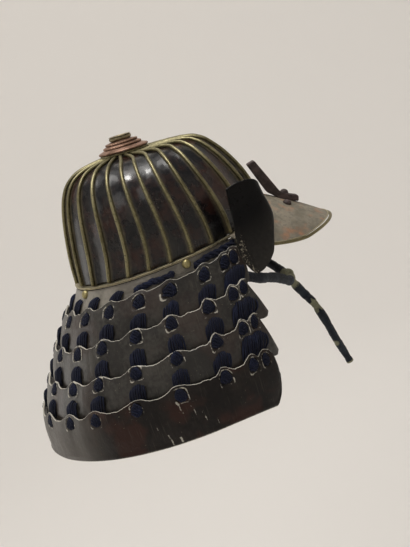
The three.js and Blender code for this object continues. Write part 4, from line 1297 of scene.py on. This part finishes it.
# The left half of the loop from its knot, and the free end: how far left, forward and up.
LOOP_HALF = [
    (8.3, 113, -88), (12.5, 113, -88), (18.5, 112.6, -87.5), (25, 111.1, -85.8),
    (31.5, 108.3, -82.5), (42, 102.3, -75.4), (54.5, 94.8, -67.8), (68, 86.5, -61.2),
    (79.5, 79, -55.5), (86, 69, -48.5), (88, 57, -39), (88, 42, -28.5), (88, 26, -20.5),
    (88, 8.2, -16.6), (89.6, -9.6, -17.1), (88, -39.9, -19.2), (76.8, -71.2, -21.9),
    (57.2, -96.5, -24.7), (31.8, -112, -26.8), (0, -117.8, -27.7),
]
TAIL = [
    (0, 115.943, -95.106), (0, 120.2, -105.5), (-1, 124.8, -116), (-2, 129.3, -126.2),
    (-3, 134, -143), (-4, 137, -160), (-5, 139.5, -178), (-5, 143.3, -198), (-5, 146, -212.5),
]
KNOT_MIDDLE = np.array([0, -113.0, -88.0])


def smooth_line(stops, steps):
    """A centripetal Catmull-Rom line: between two points it is the cubic with their places and
    slopes, where a slope weighs its neighbours by the square roots of the distances to them."""
    stops = np.asarray(stops, float) * np.array([1, -1, 1])
    stops = np.concatenate([[2 * stops[0] - stops[1]], stops, [2 * stops[-1] - stops[-2]]])
    gap = np.linalg.norm(np.diff(stops, axis=0), axis=1)[:, None] ** 0.5
    p0, p1, p2, p3 = stops[:-3], stops[1:-2], stops[2:-1], stops[3:]
    g0, g1, g2 = gap[:-2], gap[1:-1], gap[2:]
    slope1 = ((p1 - p0) / g0 - (p2 - p0) / (g0 + g1) + (p2 - p1) / g1) * g1
    slope2 = ((p2 - p1) / g1 - (p3 - p1) / (g1 + g2) + (p3 - p2) / g2) * g1
    t = np.linspace(0, 1, steps, endpoint=False)[:, None, None]
    cubic = (2 * p1 - 2 * p2 + slope1 + slope2) * t**3
    cubic = cubic + (3 * p2 - 3 * p1 - 2 * slope1 - slope2) * t**2 + slope1 * t + p1
    return np.concatenate([cubic.transpose(1, 0, 2).reshape(-1, 3), stops[-2:-1]])


def line_length(line):
    return float(np.linalg.norm(np.diff(line, axis=0), axis=1).sum())


def cloth_tube(path, toward, profile, bare):
    """A closed tube whose radius and bareness are given at each station and turn round it."""
    way = unit(np.gradient(path, axis=0))
    across = unit(np.cross(way, toward - path))
    out = np.cross(across, way)
    run = np.linalg.norm(np.diff(path, axis=0, prepend=path[:1]), axis=-1).cumsum()
    turn = np.linspace(0, 2 * np.pi, CLOTH_SIDES, endpoint=False)[None, :]
    ring = circle(1, CLOTH_SIDES)
    run = run[:, None]
    section = ring[None] * profile(run, turn)[..., None]
    lay = place_of(ring[:, 0], ring[:, 1], run / 1000)
    marks = {"lay": lay[None], "bare": bare(run, turn)[None]}
    return carried(path[None], across[None], out[None], section[None], marks=marks)


def padded(run, turn):
    """The cord's radius: pinched by waves along it, a little flattened, with a raised seam."""
    pinch = 0.22 * waves(run * 0.16, 5) + 0.12 * waves(run * 0.5 + 2 * np.cos(turn), 6)
    seam = 0.45 * bell(np.angle(np.exp(1j * (turn - 1.2))), 0.09)
    flattish = (CORD_RADIUS + CORD_PLUMP) * (1 - 0.08 * np.sin(turn) ** 2)
    return flattish + np.clip(pinch, -0.7, 0.45) + seam - 0.3


def worn_cloth():
    material, start, where = new_finish("padded_cloth")
    bare = marked(start, "bare")
    turn, run = round_and_along(start)
    weave = start.maths("SINE", turn * 44) * start.maths("SINE", run * 8200)
    fuzz = grain(where, 0.0012, 4.0)
    faded = rise(grain(where, 0.016, 5.0, shift=3.0) * 0.7 + fuzz * 0.3, 0.46, 0.62)
    colour = tint(faded, (0.008, 0.012, 0.022), (0.028, 0.038, 0.054))
    colour = tint(rise(weave, 0.0, 0.9) * 0.35, colour, (0.05, 0.062, 0.082))
    ragged = rise(bare * 0.8 + fuzz * 0.5, 0.5, 0.75)
    colour = tint(ragged, colour, (0.30, 0.30, 0.20))
    height = weave * 0.25 + fuzz
    set_finish(material, height, 0.0005, Base_Color=colour, Roughness=0.9, Sheen_Weight=0.1)
    return material


cloth = worn_cloth()
right_half = [(-x, y, z) for x, y, z in LOOP_HALF[:-1]]
loop_line = smooth_line(LOOP_HALF + right_half[::-1], LOOP_STEPS)
loop_length = line_length(loop_line)


def knot_ends(run, turn):
    """A bell curve of how near a place is to either end of the loop."""
    return bell(np.minimum(run, loop_length - run), 12) * 0.9 + 0 * turn


loop_tube = cloth_tube(loop_line, np.array([0, 0, -60]), padded, knot_ends)
loop = new_mesh("chin_loop", [loop_tube], cloth)
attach(loop, "root")
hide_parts("chin_cord_loop")


def knot_turns():
    """The cord wound round itself: a line that goes twice round a ring while it turns three times
    through it, drawn tight."""
    t = np.linspace(0, 2 * np.pi, 121)[:-1]
    reach = 4.2 + 2.3 * np.cos(3 * t)
    line = np.stack([2.9 * np.sin(3 * t), reach * np.cos(2 * t), reach * np.sin(2 * t)], axis=-1)
    way = unit(np.roll(line, -1, axis=0) - np.roll(line, 1, axis=0))
    side = unit(np.cross(way, line))
    turn = np.linspace(0, 2 * np.pi, 20, endpoint=False)
    radius = 3.3 + 0.35 * np.sin(3 * turn)[None, :, None] + 0.15 * waves(t * 5, 9)[:, None, None]
    ring = circle(1, 20)
    lay = place_of(ring[:, 0], ring[:, 1], t[:, None] * 0.009)
    marks = {"lay": lay[None], "bare": 0.62 + 0 * lay[None, ..., 0]}
    path, out = (KNOT_MIDDLE + line)[None], np.cross(side, way)[None]
    return carried(path, side[None], out, (ring[None] * radius)[None], True, marks)


knot = new_mesh("chin_knot", [knot_turns()], cloth)
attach(knot, "root")
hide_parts("chin_cord_knot")

tail_line = smooth_line(TAIL, 14)
tail_length = line_length(tail_line)
TEAR = {"from": 33.0, "to": 47.0}


def torn_share(run, turn, wider, soft):
    """1 between two ragged lines round the cord, set wider apart by a length, and 0 past them."""
    ragged = 2.2 * np.sin(turn * 3 + 1) + 1.2 * np.sin(turn * 7)
    after = np.clip((run - TEAR["from"] + wider - ragged) / soft, 0, 1)
    return after * np.clip((TEAR["to"] + wider + ragged - run) / soft, 0, 1)


def torn_tube(run, turn):
    """The padded cord's radius, drawn in to the wadding at the tear and thinned below it."""
    gone = torn_share(run, turn, 0, 1.2)
    core = 3.6 + 0.5 * waves(run * 0.9 + np.cos(turn) * 2, 21)
    side_torn = np.clip(0.65 + 0.6 * np.cos(turn - 2.6), 0, 1)
    shrink = 1 - 0.14 * np.clip((run - TEAR["to"]) / 70, 0, 1)
    return padded(run, turn) * shrink * (1 - gone * side_torn) + core * gone * side_torn


def torn_bare(run, turn):
    """1 at the tear, and bell curves at one worn spot and at both ends."""
    near = torn_share(run, turn, 1.0, 1.5)
    spot = bell(run - 92, 4) * np.clip(np.cos(turn - 2.2), 0, 1)
    foot, head = bell(run - tail_length, 2.2), bell(run, 9) * 0.8
    return np.clip(near + spot + foot + head, 0, 1)


tail_tube = cloth_tube(tail_line, np.array([0, -60, -100]), torn_tube, torn_bare)
tail = new_mesh("chin_tail", [tail_tube], cloth)
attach(tail, "root")
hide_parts("chin_cord_tail")

# ------------------------------------------------------------------------------------------------
# Keepers: three short iron rings inside the band that hold the cord.
# ------------------------------------------------------------------------------------------------

# Each keeper's place, as a point of the loop's table.
KEEPERS = {"left": 13, "back": 19, "right": 25}
KEEPER = {"inner": 6.8, "outer": 8.3, "half": 4, "soft": 0.7, "sides": 48}


def keeper_ring(station):
    """A rounded strip's section turned round the cord's line at one of its points."""
    at = station * LOOP_STEPS
    way = unit(loop_line[at + 1] - loop_line[at - 1])
    side = unit(np.cross(way, [0, 0, 1.0]))
    up = np.cross(side, way)
    inner, outer, half, soft, sides = KEEPER.values()
    turn = np.linspace(0, 2 * np.pi, sides, endpoint=False)[:, None]
    section = softened([(inner, -half), (outer, -half), (outer, half), (inner, half)], soft)
    flat = side * np.cos(turn)[..., None] + up * np.sin(turn)[..., None]
    points = loop_line[at] + flat * section[None, :, :1] + way * section[None, :, 1:]
    points = points.reshape(-1, 3)
    return points, facing_out(points, [net(sides, len(section), True, True)]), {}


for hand, station in KEEPERS.items():
    ring_piece = new_mesh("keeper_" + hand, [keeper_ring(station)], iron)
    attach(ring_piece, "root")
    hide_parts("cord_keeper_" + hand)
